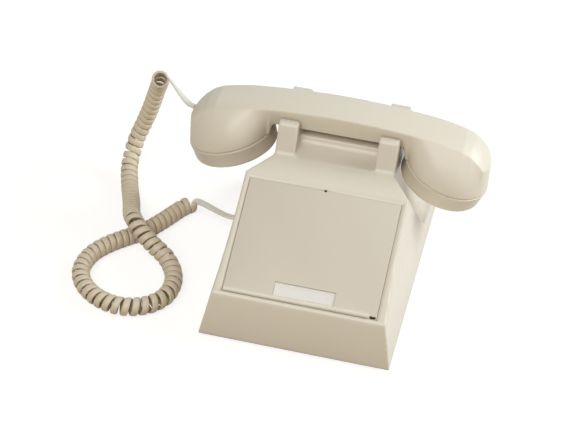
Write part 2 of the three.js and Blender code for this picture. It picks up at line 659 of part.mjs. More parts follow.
function plugBody() {
  const depth = SOCKET_DEPTH - SEAT_GAP;
  const body = block(
    [-PLUG_WIDTH / 2, -PLUG_HEIGHT / 2, -depth], [PLUG_WIDTH / 2, PLUG_HEIGHT / 2, PLUG_TAIL / 2]);
  const tail = loftAlong('z', [
    { at: PLUG_TAIL / 2 - 0.5, outline: rectangleOutline(PLUG_WIDTH - 0.6, PLUG_HEIGHT - 0.8) },
    { at: PLUG_TAIL, outline: rectangleOutline(PLUG_WIDTH - 2, PLUG_HEIGHT - 2.2) }]);
  const latch = block(
    [-LATCH_WIDTH / 2, -PLUG_HEIGHT / 2 - LATCH_HEIGHT + SEAT_GAP, -depth],
    [LATCH_WIDTH / 2, 0, PLUG_TAIL / 2]);
  return join(body, tail, latch);
}

const rectangleOutline = (width, height) => [
  [-width / 2, -height / 2], [width / 2, -height / 2], [width / 2, height / 2], [-width / 2, height / 2]];

// ---------------------------------------------------------------------------
// Faceplate
// ---------------------------------------------------------------------------

function faceplate() {
  const sheet = block(
    [-PLATE_HALF_WIDTH, PLATE_START, -PLATE_THICKNESS],
    [PLATE_HALF_WIDTH, PLATE_START + PLATE_LENGTH, 0]);
  const beadOutline = [[-0.6, 0], ...[0, 1, 2, 3, 4, 5, 6].map((i) => {
    const angle = (i / 6) * Math.PI;
    return [(1 - Math.cos(angle)) / 2, Math.sin(angle)];
  }), [1, -0.6], [0, -0.6]].slice(1).map(([u, v]) => [
    PLATE_START + u * BEAD_WIDTH, v * BEAD_HEIGHT]);
  const bead = prismAlong('x', beadOutline, -PLATE_HALF_WIDTH, PLATE_HALF_WIDTH - BEAD_RIGHT_STOP);
  const recess = CARD_THICKNESS + WINDOW_THICKNESS + SEAT_GAP;
  const pocket = block(
    [CARD_CENTER_X - CARD_WIDTH / 2 - SEAT_GAP, CARD_CENTER_UP - CARD_HEIGHT / 2 - SEAT_GAP, -recess],
    [CARD_CENTER_X + CARD_WIDTH / 2 + SEAT_GAP, CARD_CENTER_UP + CARD_HEIGHT / 2 + SEAT_GAP, CUT_MARGIN]);
  return cut(join(sheet, bead), releaseHole(), pocket);
}

const cardBottom = -WINDOW_THICKNESS - CARD_THICKNESS;
const designationCard = () => block(
  [CARD_CENTER_X - CARD_WIDTH / 2, CARD_CENTER_UP - CARD_HEIGHT / 2, cardBottom],
  [CARD_CENTER_X + CARD_WIDTH / 2, CARD_CENTER_UP + CARD_HEIGHT / 2, cardBottom + CARD_THICKNESS - 0.1]);
const cardWindow = () => block(
  [CARD_CENTER_X - CARD_WIDTH / 2, CARD_CENTER_UP - CARD_HEIGHT / 2, cardBottom + CARD_THICKNESS],
  [CARD_CENTER_X + CARD_WIDTH / 2, CARD_CENTER_UP + CARD_HEIGHT / 2, 0]);

// ---------------------------------------------------------------------------
// Base plate, feet and screws
// ---------------------------------------------------------------------------

const FOOT_PLACES = cornerPlaces('foot', FOOT_INSET_X, FOOT_INSET_FRONT, FOOT_INSET_REAR);

function basePlate() {
  const halfWidth = HOUSING_HALF_WIDTH - HOUSING_WALL - BASE_PLATE_GAP;
  const front = frontY(PLATE_TOP_Z) + HOUSING_WALL + BASE_PLATE_GAP;
  const rear = rearY(PLATE_TOP_Z) - HOUSING_WALL - BASE_PLATE_GAP;
  const inset = flankLean(-HOUSING_HALF_LENGTH) * (PLATE_TOP_Z - RIM_Z);
  const sheet = prismAlong('z', [
    [-halfWidth + inset, front], [halfWidth - inset, front], [halfWidth, rear], [-halfWidth, rear]],
  PLATE_UNDER_Z, PLATE_TOP_Z);
  const footHoles = Object.values(FOOT_PLACES).map(([x, y]) => post(
    x, y, FOOT_STEM_RADIUS + SEAT_GAP, 0, CUT_MARGIN, 12));
  const screwHoles = BOSS_PLACES.map(([x, y]) => post(x, y, SCREW_RADIUS + SLIDE_GAP, 0, CUT_MARGIN, 12));
  const volumeHole = post(VOLUME_X, VOLUME_Y, VOLUME_SHAFT_RADIUS + SLIDE_GAP, 0, CUT_MARGIN, 16);
  return cut(sheet, ...footHoles, ...screwHoles, volumeHole);
}

function foot([x, y]) {
  const seat = PLATE_UNDER_Z - SEAT_GAP;
  const top = PLATE_TOP_Z + SEAT_GAP;
  return turned([
    [0, 0], [FOOT_RADIUS - 1.5, 0], [FOOT_RADIUS, 1.5], [FOOT_RADIUS, seat], [FOOT_STEM_RADIUS, seat],
    [FOOT_STEM_RADIUS, top], [FOOT_HEAD_RADIUS, top], [FOOT_STEM_RADIUS, top + 2], [0, top + 2]], x, y, 14);
}

function housingScrew([x, y]) {
  const seat = PLATE_UNDER_Z - SEAT_GAP;
  return turned([
    [0, seat - SCREW_HEAD_HEIGHT], [SCREW_HEAD_RADIUS - 0.6, seat - SCREW_HEAD_HEIGHT],
    [SCREW_HEAD_RADIUS, seat - SCREW_HEAD_HEIGHT + 0.8], [SCREW_HEAD_RADIUS, seat],
    [SCREW_RADIUS, seat], [SCREW_RADIUS, seat + SCREW_LENGTH], [0, seat + SCREW_LENGTH]], x, y, 10);
}

// ---------------------------------------------------------------------------
// Hook switch
// ---------------------------------------------------------------------------

function plunger(side) {
  const x = side * PLUNGER_X;
  const half = PLUNGER_WIDTH / 2;
  const shoulderTop = PLUNGER_SHOULDER_Z + PLUNGER_SHOULDER_HEIGHT;
  const pad = block(
    [x - half, CRADLE_Y - PLUNGER_LENGTH / 2, PLUNGER_SHOULDER_Z],
    [x + half, CRADLE_Y + PLUNGER_LENGTH / 2, CRADLE_FLOOR_Z]);
  const shoulder = block(
    [x - half, CRADLE_Y - PLUNGER_SHOULDER_LENGTH / 2, PLUNGER_SHOULDER_Z],
    [x + half, CRADLE_Y + PLUNGER_SHOULDER_LENGTH / 2, shoulderTop]);
  const noseMiddle = LEVER_TOP_Z + SEAT_GAP + PLUNGER_NOSE_RADIUS;
  const stem = block(
    [x - half + 1.5, CRADLE_Y - PLUNGER_NOSE_RADIUS, noseMiddle],
    [x + half - 1.5, CRADLE_Y + PLUNGER_NOSE_RADIUS, PLUNGER_SHOULDER_Z + 1]);
  const nose = new THREE.CylinderGeometry(
    PLUNGER_NOSE_RADIUS, PLUNGER_NOSE_RADIUS, PLUNGER_WIDTH - 3, 20)
    .rotateZ(Math.PI / 2).translate(x, CRADLE_Y, noseMiddle);
  return join(pad, shoulder, stem, nose);
}

const crossRod = (radius, from, to, y, z, segments = 16) => new THREE.CylinderGeometry(
  radius, radius, to - from, segments).rotateZ(Math.PI / 2).translate((from + to) / 2, y, z);

function hookLever() {
  const under = LEVER_TOP_Z - LEVER_THICKNESS;
  const front = CRADLE_Y - LEVER_BAR_LENGTH / 2;
  const bar = block(
    [-LEVER_HALF_WIDTH, front, under], [LEVER_HALF_WIDTH, front + LEVER_BAR_LENGTH, LEVER_TOP_Z]);
  const arms = [-1, 1].map((side) => {
    const x = side * LEVER_ARM_X;
    const half = LEVER_ARM_WIDTH / 2;
    const strip = prismAlong('x', [
      [front + LEVER_BAR_LENGTH - LEVER_ARM_DEPTH, LEVER_TOP_Z - LEVER_THICKNESS / 2],
      [front + LEVER_BAR_LENGTH - LEVER_ARM_DEPTH, LEVER_TOP_Z - LEVER_ARM_DEPTH],
      [PIVOT_Y - 1, PIVOT_Z - EYE_RADIUS + 0.5], [PIVOT_Y + 1, PIVOT_Z + EYE_RADIUS - 0.5],
      [front + LEVER_BAR_LENGTH, LEVER_TOP_Z - LEVER_THICKNESS / 2]], x - half, x + half);
    return join(strip, crossRod(EYE_RADIUS, x - half, x + half, PIVOT_Y, PIVOT_Z));
  });
  return cut(join(bar, ...arms),
    crossRod(PIN_RADIUS + SLIDE_GAP, -LEVER_HALF_WIDTH, LEVER_HALF_WIDTH, PIVOT_Y, PIVOT_Z));
}

const pivotPin = () => crossRod(
  PIN_RADIUS, -BRACKET_X - BRACKET_SHEET - 1.5, BRACKET_X + BRACKET_SHEET + 1.5, PIVOT_Y, PIVOT_Z);

function hookBracket() {
  const rear = PIVOT_Y + BRACKET_LENGTH / 2;
  const front = PIVOT_Y - BRACKET_LENGTH / 2;
  const outer = BRACKET_X + BRACKET_SHEET;
  const foot = block([-outer, front, FLOOR_TOP_Z], [outer, rear, FLOOR_TOP_Z + BRACKET_SHEET]);
  const uprights = [-1, 1].map((side) => {
    const low = Math.min(side * BRACKET_X, side * outer);
    return prismAlong('x', [
      [front, FLOOR_TOP_Z], [rear, FLOOR_TOP_Z], [rear, PIVOT_Z - BRACKET_TAPER],
      [PIVOT_Y + EYE_RADIUS, PIVOT_Z + EYE_RADIUS], [PIVOT_Y - EYE_RADIUS, PIVOT_Z + EYE_RADIUS],
      [front, PIVOT_Z - BRACKET_TAPER]], low, low + BRACKET_SHEET);
  });
  const tie = block(
    [-outer, BRACKET_TIE_Y, BRACKET_TIE_Z],
    [outer, BRACKET_TIE_Y + BRACKET_SHEET, BRACKET_TIE_Z + BRACKET_TIE_HEIGHT]);
  return cut(join(foot, ...uprights, tie),
    crossRod(PIN_RADIUS + SEAT_GAP, -outer - 1, outer + 1, PIVOT_Y, PIVOT_Z));
}

// A stack of spring leaves in an insulating block, the top leaf under the lever's bar.
function switchContacts() {
  const rear = BRACKET_TIE_Y - SEAT_GAP;
  const half = CONTACT_BLOCK_WIDTH / 2;
  const topLeaf = LEVER_TOP_Z - LEVER_THICKNESS - SEAT_GAP;
  const leaves = Array.from({ length: CONTACT_LEAF_COUNT }, (_, i) => {
    const top = topLeaf - i * CONTACT_LEAF_PITCH;
    return block(
      [-half + 2, CRADLE_Y - 2, top - CONTACT_LEAF_THICKNESS], [half - 2, rear - 1, top]);
  });
  const stack = block(
    [-half, rear - CONTACT_BLOCK_LENGTH, BRACKET_TIE_Z], [half, rear, topLeaf - SEAT_GAP * 2]);
  return join(stack, ...leaves);
}

// ---------------------------------------------------------------------------
// Ringer
// ---------------------------------------------------------------------------

const gongTopZ = GONG_RIM_Z + GONG_HEIGHT;

function gong(x, radius) {
  const shoulder = radius * 0.62;
  const bore = GONG_POST_RADIUS - 1 + SEAT_GAP;
  return turned([
    [bore, gongTopZ - GONG_WALL], [shoulder, gongTopZ - GONG_WALL - 1],
    [radius - 4, gongTopZ - 5.5], [radius - GONG_WALL, GONG_RIM_Z + 4], [radius - GONG_WALL, GONG_RIM_Z],
    [radius, GONG_RIM_Z], [radius, GONG_RIM_Z + 4.6], [radius - 2.8, gongTopZ - 4.2],
    [shoulder, gongTopZ - 0.8], [bore, gongTopZ], [bore, gongTopZ - GONG_WALL]], x, RINGER_Y, 24);
}

function ringerFrame() {
  const front = RINGER_Y - RINGER_WIDTH_Y / 2;
  const rear = CLAPPER_PIVOT_Y + CLAPPER_TO_BRACKET - 1;
  const sheet = block(
    [-RINGER_HALF_WIDTH, front, FLOOR_TOP_Z],
    [RINGER_HALF_WIDTH, front + RINGER_WIDTH_Y, FLOOR_TOP_Z + RINGER_SHEET]);
  const tongue = block(
    [-RINGER_TONGUE_HALF_WIDTH, front, FLOOR_TOP_Z],
    [RINGER_TONGUE_HALF_WIDTH, rear, FLOOR_TOP_Z + RINGER_SHEET]);
  const posts = [-1, 1].map((side) => turned([
    [0, FLOOR_TOP_Z], [GONG_POST_RADIUS, FLOOR_TOP_Z],
    [GONG_POST_RADIUS, gongTopZ - GONG_WALL - SEAT_GAP],
    [GONG_POST_RADIUS - 1, gongTopZ - GONG_WALL - SEAT_GAP],
    [GONG_POST_RADIUS - 1, gongTopZ], [0, gongTopZ]], side * GONG_X, RINGER_Y, 18));
  const pivotPost = post(
    CLAPPER_X, CLAPPER_PIVOT_Y, GONG_POST_RADIUS, FLOOR_TOP_Z, CLAPPER_Z - CLAPPER_HUB_HALF_HEIGHT);
  const pivotPin = post(CLAPPER_X, CLAPPER_PIVOT_Y, CLAPPER_PIVOT_RADIUS, FLOOR_TOP_Z, CLAPPER_Z + 5, 16);
  return join(sheet, tongue, ...posts, pivotPost, pivotPin);
}

const gongScrew = (side) => turned([
  [0, gongTopZ + SEAT_GAP], [4.2, gongTopZ + SEAT_GAP], [4.2, gongTopZ + 1.6],
  [3, gongTopZ + 2.6], [0, gongTopZ + 2.6]], side * GONG_X, RINGER_Y, 14);

function ringerCoil() {
  const z = FLOOR_TOP_Z + RINGER_SHEET + SEAT_GAP + COIL_CHEEK_RADIUS;
  const half = COIL_LENGTH / 2;
  const profile = [
    [0, -half], [COIL_CHEEK_RADIUS, -half], [COIL_CHEEK_RADIUS, -half + COIL_CHEEK],
    [COIL_RADIUS, -half + COIL_CHEEK], [COIL_RADIUS, half - COIL_CHEEK],
    [COIL_CHEEK_RADIUS, half - COIL_CHEEK], [COIL_CHEEK_RADIUS, half], [0, half]];
  return turned(profile, 0, 0, 18).rotateX(Math.PI / 2).translate(CLAPPER_X, CLAPPER_PIVOT_Y - COIL_TO_PIVOT, z);
}

function clapper() {
  const ballY = CLAPPER_PIVOT_Y - CLAPPER_ARM_LENGTH;
  const rod = new THREE.CylinderGeometry(CLAPPER_ROD_RADIUS, CLAPPER_ROD_RADIUS, CLAPPER_PIVOT_Y - ballY, 10)
    .translate(CLAPPER_X, (CLAPPER_PIVOT_Y + ballY) / 2, CLAPPER_Z);
  const ball = new THREE.SphereGeometry(CLAPPER_BALL_RADIUS, 10, 6).translate(CLAPPER_X, ballY, CLAPPER_Z);
  const hub = post(
    CLAPPER_X, CLAPPER_PIVOT_Y, CLAPPER_HUB_RADIUS, CLAPPER_Z - CLAPPER_HUB_HALF_HEIGHT + SEAT_GAP,
    CLAPPER_Z + CLAPPER_HUB_HALF_HEIGHT);
  const bore = post(
    CLAPPER_X, CLAPPER_PIVOT_Y, CLAPPER_PIVOT_RADIUS + SLIDE_GAP, CLAPPER_Z - 10, CLAPPER_Z + 10, 16);
  return cut(join(closeLathe(rod), closeLathe(ball), hub), bore);
}

// ---------------------------------------------------------------------------
// Speech network and volume wheel
// ---------------------------------------------------------------------------

const networkTopZ = FLOOR_TOP_Z + NETWORK_HEIGHT;

// A potted block with a row of screw terminals along each long side.
function networkBlock() {
  const body = block(
    [NETWORK_X - NETWORK_WIDTH / 2, NETWORK_Y - NETWORK_LENGTH / 2, FLOOR_TOP_Z],
    [NETWORK_X + NETWORK_WIDTH / 2, NETWORK_Y + NETWORK_LENGTH / 2, networkTopZ]);
  const rows = [-1, 1].flatMap((side) => Array.from({ length: TERMINAL_COUNT }, (_, i) => [
    NETWORK_X + THREE.MathUtils.mapLinear(
      i, 0, TERMINAL_COUNT - 1, -NETWORK_WIDTH / 2 + 6, NETWORK_WIDTH / 2 - 6),
    NETWORK_Y + side * (NETWORK_LENGTH / 2 - 5)]));
  return join(body, ...rows.map(([x, y]) => post(
    x, y, TERMINAL_RADIUS, networkTopZ - 1, networkTopZ + TERMINAL_HEIGHT, 8)));
}

function volumeWheel() {
  const top = PLATE_UNDER_Z - SEAT_GAP;
  const outline = Array.from({ length: VOLUME_TEETH * 2 }, (_, i) => {
    const angle = (i / (VOLUME_TEETH * 2)) * Math.PI * 2;
    const radius = VOLUME_RADIUS - (i % 2) * 0.8;
    return [VOLUME_X + radius * Math.cos(angle), VOLUME_Y + radius * Math.sin(angle)];
  });
  const disc = prismAlong('z', outline, top - VOLUME_THICKNESS, top);
  return join(disc, post(VOLUME_X, VOLUME_Y, VOLUME_SHAFT_RADIUS, top - 1, VOLUME_SHAFT_TOP_Z));
}

// ---------------------------------------------------------------------------
// Handset
// ---------------------------------------------------------------------------

const seamZ = (x) => CUP_SEAM_Z + (CUP_X - Math.abs(x)) * Math.tan(CUP_TILT);
const cupHalfWidth = (x) => Math.sqrt(Math.max(
  0, CUP_RADIUS ** 2 - ((Math.abs(x) - CUP_X) / Math.cos(CUP_TILT)) ** 2));
const CUP_INNER_X = CUP_X - CUP_RADIUS * Math.cos(CUP_TILT);
const CUP_OUTER_X = CUP_X + CUP_RADIUS * Math.cos(CUP_TILT);
const archZ = (x) => HANDLE_TOP_Z - x * x / (2 * ARCH_RADIUS);

// Height of the ribbon's crown: an arch that turns down over the end of the handset.
function crownZ(x) {
  const out = Math.abs(x);
  if (out <= END_SHOULDER_X) return archZ(out);
  const path = [[END_SHOULDER_X, archZ(END_SHOULDER_X)], ...END_FACE, [CUP_OUTER_X + 1, END_FACE.at(-1)[1] - 1]];
  const i = Math.min(path.findIndex(([at]) => at >= out), path.length - 1);
  const [[x0, z0], [x1, z1]] = [path[Math.max(i, 1) - 1], path[Math.max(i, 1)]];
  return THREE.MathUtils.mapLinear(out, x0, x1, z0, z1);
}

function undersideZ(x) {
  const out = Math.abs(x);
  if (out <= HANDLE_STRAIGHT_X) return HANDLE_BOTTOM_Z;
  if (out >= CUP_INNER_X) return seamZ(out);
  const t = (out - HANDLE_STRAIGHT_X) / (CUP_INNER_X - HANDLE_STRAIGHT_X);
  return HANDLE_BOTTOM_Z - (HANDLE_BOTTOM_Z - seamZ(CUP_INNER_X)) * (1 - Math.sqrt(1 - t * t));
}

// Half of the handset's section at x, from the crown down one side to the underside.
function handsetSection(x) {
  const out = Math.abs(x);
  const low = undersideZ(x);
  const inCup = out > CUP_INNER_X;
  const seamWidth = inCup ? cupHalfWidth(out) : 0;
  const rim = inCup && out > CUP_X ? Math.max(seamWidth - 0.4, 0.6) : HANDLE_TOP_HALF_WIDTH;
  const crease = Math.min(HANDLE_TOP_HALF_WIDTH, rim);
  const crown = Math.max(crownZ(x), low + 1);
  const drop = THREE.MathUtils.lerp(
    CROWN_DROP, CROWN_DROP_END, THREE.MathUtils.smoothstep(out, CROWN_END_START_X, CUP_OUTER_X));
  const creaseZ = Math.max(crown - drop * (crease / HANDLE_TOP_HALF_WIDTH) ** 2, low + 0.6);
  const foot = Math.max(seamWidth, out < CUP_X ? HANDLE_BOTTOM_HALF_WIDTH : 1.8);
  const swell = out < CUP_X
    ? (foot - HANDLE_BOTTOM_HALF_WIDTH) / (CUP_RADIUS - HANDLE_BOTTOM_HALF_WIDTH)
    : 1;
  const count = 6;
  const side = [];
  for (let i = 1; i <= count; i += 1) {
    const t = i / count;
    const full = THREE.MathUtils.lerp(t ** HANDLE_BULGE, 1 - (1 - t) ** CUP_BULGE, swell);
    side.push([crease + (foot - crease) * full, THREE.MathUtils.lerp(creaseZ, low, t)]);
  }
  const top = [[0, crown], [crease * 0.55, crown - (crown - creaseZ) * 0.3], [crease, creaseZ]];
  return [...top, ...side, [0, low]];
}

function handsetStations() {
  const xs = [0, 16, 32, HANDLE_STRAIGHT_X];
  for (let i = 1; i <= 3; i += 1) {
    xs.push(HANDLE_STRAIGHT_X + (CUP_INNER_X - 0.05 - HANDLE_STRAIGHT_X) * Math.sin((i / 3) * Math.PI / 2));
  }
  const cupSteps = 16;
  for (let i = 1; i < cupSteps; i += 1) {
    xs.push(CUP_X - (CUP_X - CUP_INNER_X) * Math.cos((i / cupSteps) * Math.PI));
  }
  xs.push(CUP_OUTER_X - 0.05);
  return [...xs.slice(1).reverse().map((x) => -x), ...xs];
}

const atCup = (side, geometry) => geometry.rotateY(side * CUP_TILT).translate(side * CUP_X, CRADLE_Y, CUP_SEAM_Z);

function handsetShell() {
  const stations = handsetStations().map((x) => ({
    at: x, outline: mirrorOutline(handsetSection(x)).map(([u, v]) => [u + CRADLE_Y, v]) }));
  const bores = [-1, 1].map((side) => atCup(side, turned([
    [0, -CUT_MARGIN], [CUP_BORE_RADIUS, -CUT_MARGIN], [CUP_BORE_RADIUS, CUP_BORE_STRAIGHT],
    [CUP_BORE_TOP_RADIUS, CUP_BORE_HEIGHT], [0, CUP_BORE_HEIGHT]], 0, 0, 24)));
  const risers = [-1, 1].map((side) => post(
    side * CUP_X, CRADLE_Y, CHANNEL_WIDTH / 2 - 0.2, CUP_SEAM_Z + CUP_BORE_HEIGHT - 6, CHANNEL_TOP_Z - 1, 16));
  const channel = block(
    [-CUP_X, CRADLE_Y - CHANNEL_WIDTH / 2, CHANNEL_BOTTOM_Z],
    [CUP_X, CRADLE_Y + CHANNEL_WIDTH / 2, CHANNEL_TOP_Z]);
  return cut(loftAlong('x', stations), ...bores, ...risers, channel, atHandsetJack(jackPocket()));
}

// A screw-on cap: domed face, rolled edge, straight rim and a spigot inside the cup.
function earCap(side, rings) {
  const spigot = CUP_BORE_RADIUS - SEAT_GAP;
  const inner = spigot - CAP_SPIGOT_WALL;
  const face = -CAP_HEIGHT;
  const cap = turned([
    [0, face - 0.8], [CUP_RADIUS * 0.5, face - 0.6], [CUP_RADIUS * 0.82, face - 0.1],
    [CUP_RADIUS - 1.9, face + 0.9], [CUP_RADIUS - 0.7, face + 2.6], [CUP_RADIUS, -SEAT_GAP],
    [spigot, -SEAT_GAP], [spigot, CAP_SPIGOT_HEIGHT], [inner, CAP_SPIGOT_HEIGHT],
    [inner, face + CAP_FLOOR], [0, face + CAP_FLOOR]], 0, 0, 32);
  const holes = [post(0, 0, CAP_HOLE_RADIUS, -CUT_MARGIN, 0, 6)];
  for (let ring = 1; ring <= rings; ring += 1) {
    for (let i = 0; i < 6 * ring; i += 1) {
      const angle = (i / (6 * ring)) * Math.PI * 2;
      const radius = ring * HOLE_RING_STEP;
      holes.push(post(
        radius * Math.cos(angle), radius * Math.sin(angle), CAP_HOLE_RADIUS, -CUT_MARGIN, 0, 6));
    }
  }
  return atCup(side, cut(cap, ...holes));
}

const capsuleLow = -CAP_HEIGHT + CAP_FLOOR + SEAT_GAP;
const capsuleTop = capsuleLow + CAPSULE_THICKNESS;

function capsule(side, neck) {
  const radius = CUP_BORE_RADIUS - SEAT_GAP - CAP_SPIGOT_WALL - SEAT_GAP;
  return atCup(side, turned([
    [0, capsuleLow], [radius - 1, capsuleLow], [radius, capsuleLow + 1], [radius, capsuleTop - 3],
    [neck, capsuleTop], [0, capsuleTop]], 0, 0, 24));
}

function transmitterHolder() {
  const radius = CUP_BORE_RADIUS - SEAT_GAP - CAP_SPIGOT_WALL - SEAT_GAP;
  const low = capsuleTop + SEAT_GAP;
  return atCup(-1, turned([
    [10, low], [radius, low], [radius, low + 2], [12, low + 3.5], [10, low + 3.5], [10, low]], 0, 0, 24));
}

// ---------------------------------------------------------------------------
// Curly cord
// ---------------------------------------------------------------------------

// The middle line of the curls, from the base's middle plane: it hangs from the handset's lead,
// turns along the desk, passes over itself in a low hump, loops round and comes back under to
// the base.
const CURL_ROUTE = [
  [-155.8, 83, 94], [-157.6, 87.2, 89.2], [-160.2, 89.6, 82], [-163.4, 91, 71],
  [-167.5, 92.2, 57], [-173, 94, 41], [-178, 93, 26], [-180, 87, 14],
  [-179, 76, 8.2], [-173, 55, 7.5], [-163, 27, 11], [-154.5, 0.5, 19.5], [-148.5, -10, 22],
  [-141, -18, 20], [-130, -25, 15.5], [-118, -31, 10.5], [-109, -42, 7.6], [-104.5, -58, 7.5],
  [-107, -75, 7.5], [-117.5, -87.5, 7.5], [-134, -93.5, 7.5], [-152, -90, 7.5], [-168, -78, 7.5],
  [-176, -62, 7.5], [-174.5, -42, 7.5], [-166, -26, 7.5], [-154.5, -13, 7.5], [-144, -2, 7.5],
  [-134.5, 14, 7.5], [-127.5, 28, 7.5], [-122.8, 37, 7.5], [-118, 42.5, 7.9],
];
const curlAxis = new THREE.CatmullRomCurve3(
  CURL_ROUTE.map(([x, y, z]) => new THREE.Vector3(x + BASE_X, y, z)), false, 'centripetal');
const AXIS_SAMPLES = 1200;

// Points along the axis with directions that turn with it and never twist about it.
function axisFrames() {
  curlAxis.arcLengthDivisions = AXIS_SAMPLES;
  const length = curlAxis.getLength();
  const frames = [];
  let across = new THREE.Vector3(0, 1, 0);
  for (let i = 0; i <= AXIS_SAMPLES; i += 1) {
    const point = curlAxis.getPointAt(i / AXIS_SAMPLES);
    const along = curlAxis.getTangentAt(i / AXIS_SAMPLES);
    across = across.clone().addScaledVector(along, -across.dot(along)).normalize();
    frames.push({ point, along, across, side: along.clone().cross(across), at: length * i / AXIS_SAMPLES });
  }
  return frames;
}

// How many curls have been made at each sample: the pitch widens where the axis bends, so that
// the curls on the inside of the bend keep their gap.
function curlCounts(frames) {
  const counts = [0];
  for (let i = 1; i < frames.length; i += 1) {
    const step = frames[i].at - frames[i - 1].at;
    const near = frames[Math.max(i - 12, 0)];
    const far = frames[Math.min(i + 12, frames.length - 1)];
    const bend = near.along.angleTo(far.along) / (far.at - near.at);
    const pitch = (WIRE_WIDTH + CURL_GAP) / (1 - CURL_OUTER_RADIUS * bend);
    counts.push(counts[i - 1] + step / pitch);
  }
  return counts;
}

// Ring centres of the whole wire, with the direction that each ring's thickness points in.
function wirePath() {
  const frames = axisFrames();
  const counts = curlCounts(frames);
  const end = new THREE.Vector3(...CURL_END_SIDE);
  const endAngle = Math.atan2(end.dot(frames.at(-1).side), end.dot(frames.at(-1).across));
  const startTurn = (CURL_START_ANGLE - endAngle) / (Math.PI * 2);
  const turns = startTurn + Math.floor(counts.at(-1) - startTurn);
  const steps = Math.round(turns * CURL_STEPS);
  const rings = [];
  let sample = 0;
  for (let step = 0; step <= steps; step += 1) {
    const wanted = (step / steps) * counts.at(-1);
    while (sample < counts.length - 2 && counts[sample + 1] < wanted) sample += 1;
    const t = (wanted - counts[sample]) / (counts[sample + 1] - counts[sample]);
    const [a, b] = [frames[sample], frames[sample + 1]];
    const angle = CURL_START_ANGLE - (step / steps) * turns * Math.PI * 2;
    const out = a.across.clone().lerp(b.across, t).multiplyScalar(Math.cos(angle))
      .addScaledVector(a.side.clone().lerp(b.side, t), Math.sin(angle)).normalize();
    const point = a.point.clone().lerp(b.point, t).addScaledVector(out, CURL_RADIUS);
    rings.push({ point, out });
  }
  return { rings, turns };
}

// A lead from a plug to one end of the curls: straight out of the plug, then one smooth bow.
function leadPath(start, startWay, end, endWay, startPull, endPull) {
  const straight = start.clone().addScaledVector(startWay, WIRE_WIDTH);
  const bow = new THREE.CubicBezierCurve3(
    straight, straight.clone().addScaledVector(startWay, startPull),
    end.clone().addScaledVector(endWay, -endPull), end);
  return [start, ...Array.from({ length: LEAD_STEPS }, (_, i) => bow.getPointAt(i / LEAD_STEPS))];
}

// Five-sided section of the wire: [along the curl's axis, out from it].
const WIRE_SECTION = [
  [-0.5, 0.1], [-0.3, -0.5], [0.3, -0.5], [0.5, 0.1], [0, 0.5]].map(([u, v]) => [
  u * WIRE_WIDTH, v * WIRE_THICKNESS]);

function jackOutlet(place) {
  const tip = place(new THREE.BufferGeometry().setFromPoints([
    new THREE.Vector3(0, 0, PLUG_TAIL + SEAT_GAP), new THREE.Vector3(0, 0, PLUG_TAIL + SEAT_GAP + 1)]));
  const points = [0, 1].map((i) => new THREE.Vector3().fromBufferAttribute(tip.attributes.position, i));
  return { point: points[0], way: points[1].clone().sub(points[0]).normalize() };
}

function curlyCord() {
  const { rings, turns } = wirePath();
  const top = jackOutlet(atHandsetJack);
  const low = jackOutlet(atBaseJack);
  low.point.x += BASE_X;
  const firstWay = rings[1].point.clone().sub(rings[0].point).normalize();
  const lastWay = rings.at(-1).point.clone().sub(rings.at(-2).point).normalize();
  const upper = leadPath(top.point, top.way, rings[0].point, firstWay, 7, 9);
  const lower = leadPath(low.point, low.way, rings.at(-1).point, lastWay.clone().negate(), 12, 10);
  const points = [...upper, ...rings.map(({ point }) => point), ...lower.reverse()];
  const outs = [...upper.map(() => null), ...rings.map(({ out }) => out), ...lower.map(() => null)];
  for (let i = upper.length - 1; i >= 0; i -= 1) outs[i] = outs[i + 1];
  for (let i = outs.length - lower.length; i < outs.length; i += 1) outs[i] = outs[i - 1];
  let carried = null;
  const sections = points.map((point, i) => {
    const before = points[Math.max(i - 1, 0)];
    const after = points[Math.min(i + 1, points.length - 1)];
    const along = after.clone().sub(before).normalize();
    const out = outs[i].clone().addScaledVector(along, -outs[i].dot(along)).normalize();
    carried = along.clone().cross(out);
    return WIRE_SECTION.map(([u, v]) => point.clone().addScaledVector(carried, u).addScaledVector(out, v));
  });
  reportGap(sections, turns);
  const rows = sections.map((section) => section.map((p) => p.toArray()));
  const flat = WIRE_SECTION.map(([u, v]) => [u, v]);
  return loftRings(rows, [flat, flat]);
}

// Least distance between points of the wire that are more than half a curl apart.
function reportGap(sections, turns) {
  const apart = Math.ceil(CURL_STEPS * 0.6);
  let least = Infinity;
  let length = 0;
  const middle = sections.map((section) => section.reduce(
    (sum, p) => sum.add(p), new THREE.Vector3()).divideScalar(section.length));
  for (let i = 0; i < sections.length; i += 1) {
    if (i > 0) length += middle[i].distanceTo(middle[i - 1]);
    for (let j = i + apart; j < sections.length; j += 1) {
      if (middle[i].distanceTo(middle[j]) > WIRE_WIDTH * 2) continue;
      for (const p of sections[i]) {
        for (const q of sections[j]) least = Math.min(least, p.distanceTo(q));
      }
    }
  }
  console.log(`cord: ${turns.toFixed(2)} curls, ${Math.round(length)} mm of wire, least gap ${least.toFixed(2)} mm`);
}

// ---------------------------------------------------------------------------
// Assembly
// ---------------------------------------------------------------------------

